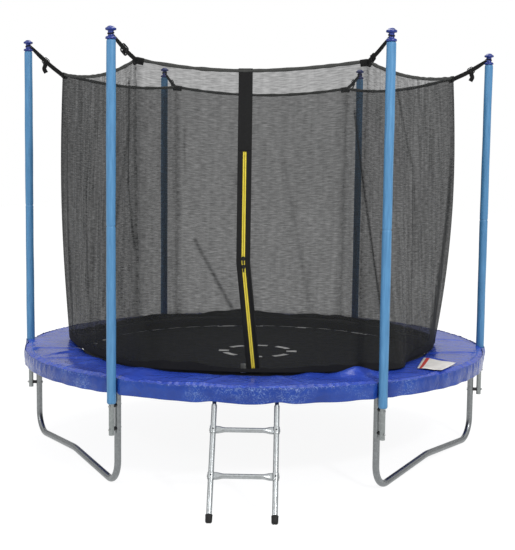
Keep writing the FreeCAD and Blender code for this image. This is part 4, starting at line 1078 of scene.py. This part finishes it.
def jumping_mat():
    """A stretched disc: z = top - 3 mm (1 - (r/R)^2), with a double-thick hem at its edge."""
    r = np.concatenate([np.linspace(0.0, 0.90, 26), [0.902, 0.905, 0.935, 0.938]]) / 0.94
    z = MAT_TOP - 0.0016 - 0.003 * (1 - r ** 2) + np.where(r > 0.961, 0.0014, 0.0)
    edge_r = np.array([1.0, 1.0, 0.998])
    edge_z = np.array([MAT_TOP - 0.0012, MAT_TOP - 0.0040, MAT_TOP - 0.0046])
    under_r = np.array([0.958, 0.5, 0.0])
    under_z = MAT_TOP - 0.0046 - 0.003 * (1 - under_r ** 2) + np.array([0.001, 0, 0])
    profile = np.stack([np.concatenate([r, edge_r, under_r]) * MAT_RADIUS,
                        np.concatenate([z, edge_z, under_z])], -1)
    mat = piece("woven_mat", [grid(lathe(profile, sides=192), 5.9, 1.9, around=True)], MAT,
                body="mat")
    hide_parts("jumping_mat")
    marks = []

    def dash(radius, middle, half_span, wide, centre=(0.0, 0.0)):
        u = math.radians(middle) + math.radians(half_span) * np.linspace(-1, 1, 12)[None, :]
        v = radius + wide * np.linspace(-0.5, 0.5, 6)[:, None]
        x, y = centre[0] + v * np.cos(u), centre[1] + v * np.sin(u)
        level = MAT_TOP - 0.0040 + 0.003 * (x ** 2 + y ** 2) / MAT_RADIUS ** 2
        hem = np.where(np.hypot(x, y) > 0.90, 0.0015, 0.0)
        marks.append(grid(np.stack([x, y, level + hem + 0.0006], -1), 0.05, 0.012))

    for middle, half_span in ((131, 14), (84, 10), (42, 15), (313.4, 15), (273, 6), (216, 16)):
        dash(0.186, middle, half_span, 0.034, (0.02, 0))
    for middle in (0, 180):
        dash(0.188, middle, 7.0, 0.056, (0.02, 0))
    # short white dashes on the hem near the mat's back edge, where white slivers show; what they
    # are is not known, and they are drawn in the same white as the rings
    for middle, half_span in ((73, 2.2), (90, 1.8), (103, 3.4), (47, 3.6), (163, 1.2), (172, 1.0)):
        dash(0.918, middle, half_span, 0.022)
    white_marks = piece("mat_marks", marks, WHITE_MARKS, body="mat", outward="up", wall=0.0006)
    fold = rounded([(0.915, MAT_TOP + 0.0012), (0.946, MAT_TOP + 0.0012),
                    (0.9490, MAT_TOP - 0.0025), (0.946, MAT_TOP - 0.0062),
                    (0.915, MAT_TOP - 0.0062)], 0.35, 4)
    across = np.linspace(-0.011, 0.011, 4)
    strip = np.stack([np.broadcast_to(fold[:, :1], (len(fold), 4)),
                      np.broadcast_to(across, (len(fold), 4)),
                      np.broadcast_to(fold[:, 1:], (len(fold), 4))], -1)
    copies = np.stack([turned(strip, TAU * k / SPRINGS) for k in range(SPRINGS)])
    loops = piece("mat_ring_loops", [grid(copies, 0.022, 0.07)], WEBBING, body="mat",
                  outward="up", wall=0.0012)


def coil_springs():
    """Extension springs: a wire along (x, R cos w, R sin w) with w = tau n s over the coil, its
    radius easing to nothing at the two hooks; four springs a piece, twelve pieces."""
    turns, per_turn = 24, 9
    inner, outer_end = 0.968, 1.178
    coil_radius, wire_radius = 0.0085, 0.0015
    s = np.linspace(0, 1, turns * per_turn)
    ease = np.clip(np.minimum(s, 1 - s) / 0.03, 0, 1)
    wind = TAU * turns * s
    coil = np.stack([inner + 0.018 + (outer_end - inner - 0.036) * s,
                     coil_radius * ease * np.cos(wind), coil_radius * ease * np.sin(wind)], -1)
    hook_in = np.array([[inner - 0.004, 0, -0.004], [inner - 0.007, 0, 0.0], [inner, 0, 0.003],
                        [inner + 0.012, 0, 0.001]])
    hook_out = np.array([[outer_end - 0.012, 0, 0.001], [outer_end, 0, 0.004],
                         [outer_end + 0.006, 0, 0.010]])
    wire = np.concatenate([hook_in, coil, hook_out])
    middle = MAT_TOP - 0.002 + (RING_HEIGHT + 0.004 - MAT_TOP) * np.clip(
        (wire[:, 0] - inner) / (outer_end - inner), 0, 1)
    wire[:, 2] += middle
    one = sweep(wire, disc(wire_radius, wire_radius, 4), (0.13, 0.31, 0.94))
    for set_number in range(SPRINGS // SPRINGS_A_PIECE):
        first = SPRINGS_A_PIECE * set_number
        members = np.stack([turned(one, TAU * (first + k) / SPRINGS)
                            for k in range(SPRINGS_A_PIECE)])
        coils = piece(f"spring_set_{set_number + 1}", [grid(members, 0.01, 1.2, around=True)],
                      ZINC, body=None)
        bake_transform(coils)
        if set_number == 0:
            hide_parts("springs")


# --- ladder ---------------------------------------------------------------------------

def ladder_direction():
    """Unit vector up the ladder's rails."""
    run = JOINTS["ladder_swing"]["pos_m"][1] - low("ladder_feet")[1] - 0.018
    return unit(np.array([0, run, RING_HEIGHT]))


def ladder_rungs():
    """Rungs: a round tube whose ends are pressed into tall saddles. Along x the section eases
    from a circle of 11 mm to a tall flat oval at the rails."""
    up = ladder_direction()
    for name in ("ladder_rung_lower", "ladder_rung_upper"):
        lowest, highest = low(name), high(name)
        centre = (lowest + highest) / 2
        half = (highest[0] - lowest[0]) / 2
        radius = (highest[2] - lowest[2]) / 2
        x = half * np.sin(np.linspace(-np.pi / 2, np.pi / 2, 60))
        flat = np.clip((np.abs(x) - half + 0.045) / 0.040, 0, 1)
        flat = flat ** 2 * (3 - 2 * flat)
        deep = radius * (1 - 0.45 * flat)
        tall = radius * (1 + 0.62 * flat)
        section = disc(1, 1, 24)[None] * np.stack([deep, tall], -1)[:, None]
        path = centre + np.stack([x, 0 * x, 0 * x], -1)
        rung = piece(name + "_tube", [grid(sweep(path, section, tuple(up)), 0.07, 0.25,
                                           around=True)], LADDER_STEEL, body="ladder")
        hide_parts(name)


def rung_saddles():
    """The rungs' pressed ends wrap round the rails: a flat section carried on the arc
    c + r (cos f side + sin f out), with a domed rivet at the front of each."""
    up = ladder_direction()
    side = np.array([1.0, 0, 0])
    out = np.cross(side, up)
    rail_x = (low("ladder_rail_right")[0] + high("ladder_rail_right")[0]) / 2
    rail_radius = (high("ladder_rail_right")[0] - low("ladder_rail_right")[0]) / 2
    saddles, rivets = [], []
    for name in ("ladder_rung_lower", "ladder_rung_upper"):
        centre = (low(name) + high(name)) / 2
        for sign in (-1, 1):
            at = np.array([sign * rail_x, centre[1], centre[2]])
            f = np.radians(np.linspace(-35, 215, 40))[:, None]
            reach = rail_radius + 0.0016
            arc = at + reach * (np.cos(f) * side + np.sin(f) * out)
            tall = 0.034 - 0.008 * np.linspace(-1, 1, 40) ** 4
            sections = np.stack([flat_band(0.0026, each) for each in tall])
            saddles.append(grid(sweep(arc, sections, tuple(up)), 0.07, 0.06, around=True))
            dome = lathe([(0, 0.0026), (0.0022, 0.0023), (0.0038, 0.0012), (0.0044, 0), (0, 0)],
                         sides=16)
            place = at + (reach + 0.0012) * out
            rivets.append(grid(place + dome[..., :1] * side + dome[..., 1:2] * up
                               + dome[..., 2:] * out, 0.01, 0.01, around=True))
    ears = piece("rung_saddles", saddles, LADDER_STEEL, body="ladder")
    heads = piece("rung_rivets", rivets, RIVET, body="ladder")


def ladder_feet():
    """Rubber caps: a turned profile rounded below, with a bead at its mouth, sheared flat on the
    ground."""
    up = ladder_direction()
    side = np.array([1.0, 0, 0])
    out = np.cross(up, side)
    feet = []
    box_low, box_high = low("ladder_feet"), high("ladder_feet")
    length, radius = 0.037, 0.0155
    profile = rounded([(0, 0.0), (0.0090, 0.0), (0.0148, 0.0055), (0.0152, length * 0.8),
                       (0.0156, length * 0.86), (0.0156, length), (0.0128, length + 0.0006),
                       (0.0126, length - 0.006)], 0.3, 4)
    shape = lathe(profile, 40)
    for centre_x in (box_low[0] + radius, box_high[0] - radius):
        at = np.array([centre_x, box_low[1] + 0.019, 0.0]) + shape[..., :1] * side + \
            shape[..., 1:2] * out + (shape[..., 2:] + 0.002) * up
        at[..., 2] = np.maximum(at[..., 2], 0.0)
        feet.append(grid(at, 0.09, 0.05, around=True))
    caps = piece("ladder_foot_caps", feet, RUBBER, body="ladder")
    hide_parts("ladder_feet")


# --- metalwork kept from the frame ----------------------------------------------------

def dress(node, material):
    """Gives a CAD node its finish."""
    mesh_object = frame["nodes"][node]
    mesh_object.data.materials.clear()
    mesh_object.data.materials.append(material)


for node in frame["nodes"]:
    if node.startswith(("frame_rail", "leg_")):
        dress(node, STEEL)
    elif node.startswith(("ladder_rail", "ladder_rung")):
        dress(node, LADDER_STEEL)
    elif node.startswith(("pole_lower", "pole_upper")):
        dress(node, POLE_STEEL)
    elif node in ("pole_bolts", "pole_nuts", "frame_screws", "ladder_bolts", "mat_rings"):
        dress(node, ZINC)
    elif node == "pole_spacers":
        dress(node, BLACK_PLASTIC)

safety_net()
net_hems()
bottom_hem()
door_strip()
zip_sliders()
net_straps()
pole_caps()
pole_sleeves()
safety_pad()
pad_skirt()
pad_label()
jumping_mat()
coil_springs()
ladder_rungs()
rung_saddles()
ladder_feet()


# --- floor, light and camera ----------------------------------------------------------

def studio():
    """A wide pale floor that glows like a light table, under a white sky that dims towards the
    horizon as it would beyond the edges of a soft box, and three soft lamps. Floor and sky are
    seen brighter than the light they give."""
    reach = 30.0
    corners = np.array([[[-reach, -reach, 0], [reach, -reach, 0]],
                        [[-reach, reach, 0], [reach, reach, 0]]])
    paint, tree, shader = finish("studio_floor_light_table", "#6C6C6C", Roughness=0.9,
                                 Specular_IOR_Level=0.0)
    shader["Emission Color"].default_value = WHITE
    seen = add(tree, "LightPath").outputs["Is Camera Ray"]
    add(tree, "MapRange", {"Value": seen, "To Min": 0.70, "To Max": 0.92},
        feeds=shader["Emission Strength"])
    floor = piece("studio_floor", [grid(corners)], paint, body=None, outward="up")
    world = bpy.data.worlds.new("studio_sky")
    world.use_nodes = True
    tree = world.node_tree
    sky = tree.nodes["Background"].inputs
    sky["Color"].default_value = WHITE
    height = add(tree, "SeparateXYZ", {"Vector": add(tree, "TexCoord").outputs["Generated"]})
    dome = add(tree, "MapRange", {"Value": height.outputs["Z"], "From Max": 0.9, "To Min": 0.42,
                                  "To Max": 1.0})
    seen = add(tree, "LightPath").outputs["Is Camera Ray"]
    add(tree, "Math", {0: dome, 1: seen}, operation="MAXIMUM", feeds=sky["Strength"])
    bpy.context.scene.world = world
    lit_middle = np.array([0, 0, 0.8])
    for name, place, size, power in (("key_lamp", (2.8, -5.5, 4.4), 0.6, 170),
                                     ("fill_lamp", (-4.2, -4.6, 3.6), 0.6, 50),
                                     ("top_lamp", (0.0, 2.5, 5.5), 2.5, 90)):
        lamp = bpy.data.lights.new(name, "AREA")
        lamp.energy = power
        lamp.size = size
        holder = bpy.data.objects.new(name, lamp)
        bpy.context.scene.collection.objects.link(holder)
        back = unit(np.array(place) - lit_middle)
        right = unit(np.cross((0, 0, 1), back))
        holder.matrix_world = axes_to_matrix(right, np.cross(back, right), back, place)


def axes_to_matrix(right, up, back, place):
    """A placement whose X, Y and Z are right, up and back."""
    matrix = Matrix.Identity(4)
    for column, vector in enumerate((right, up, back, place)):
        for row in range(3):
            matrix[row][column] = float(vector[row])
    return matrix


def camera():
    """Eye height 1.5 m, 6 m in front, turned a little left, tipped down 5.7 degrees."""
    yaw, pitch, roll = -0.0262, 0.0998, -0.0116
    eye_place, focal_mm = (0.173, -6.060, 1.507), 72.27
    ahead = np.array([math.sin(yaw) * math.cos(pitch), math.cos(yaw) * math.cos(pitch),
                      -math.sin(pitch)])
    level = np.array([math.cos(yaw), -math.sin(yaw), 0])
    rise = np.cross(level, ahead)
    right = level * math.cos(roll) - rise * math.sin(roll)
    up = np.cross(right, ahead)
    data = bpy.data.cameras.new("studio_camera")
    data.sensor_width = 36
    data.lens = focal_mm
    data.clip_end = 100
    eye = bpy.data.objects.new("studio_camera", data)
    bpy.context.scene.collection.objects.link(eye)
    eye.matrix_world = axes_to_matrix(right, up, -ahead, eye_place)
    bpy.context.scene.camera = eye


studio()
camera()
bpy.context.scene.view_settings.view_transform = "Standard"
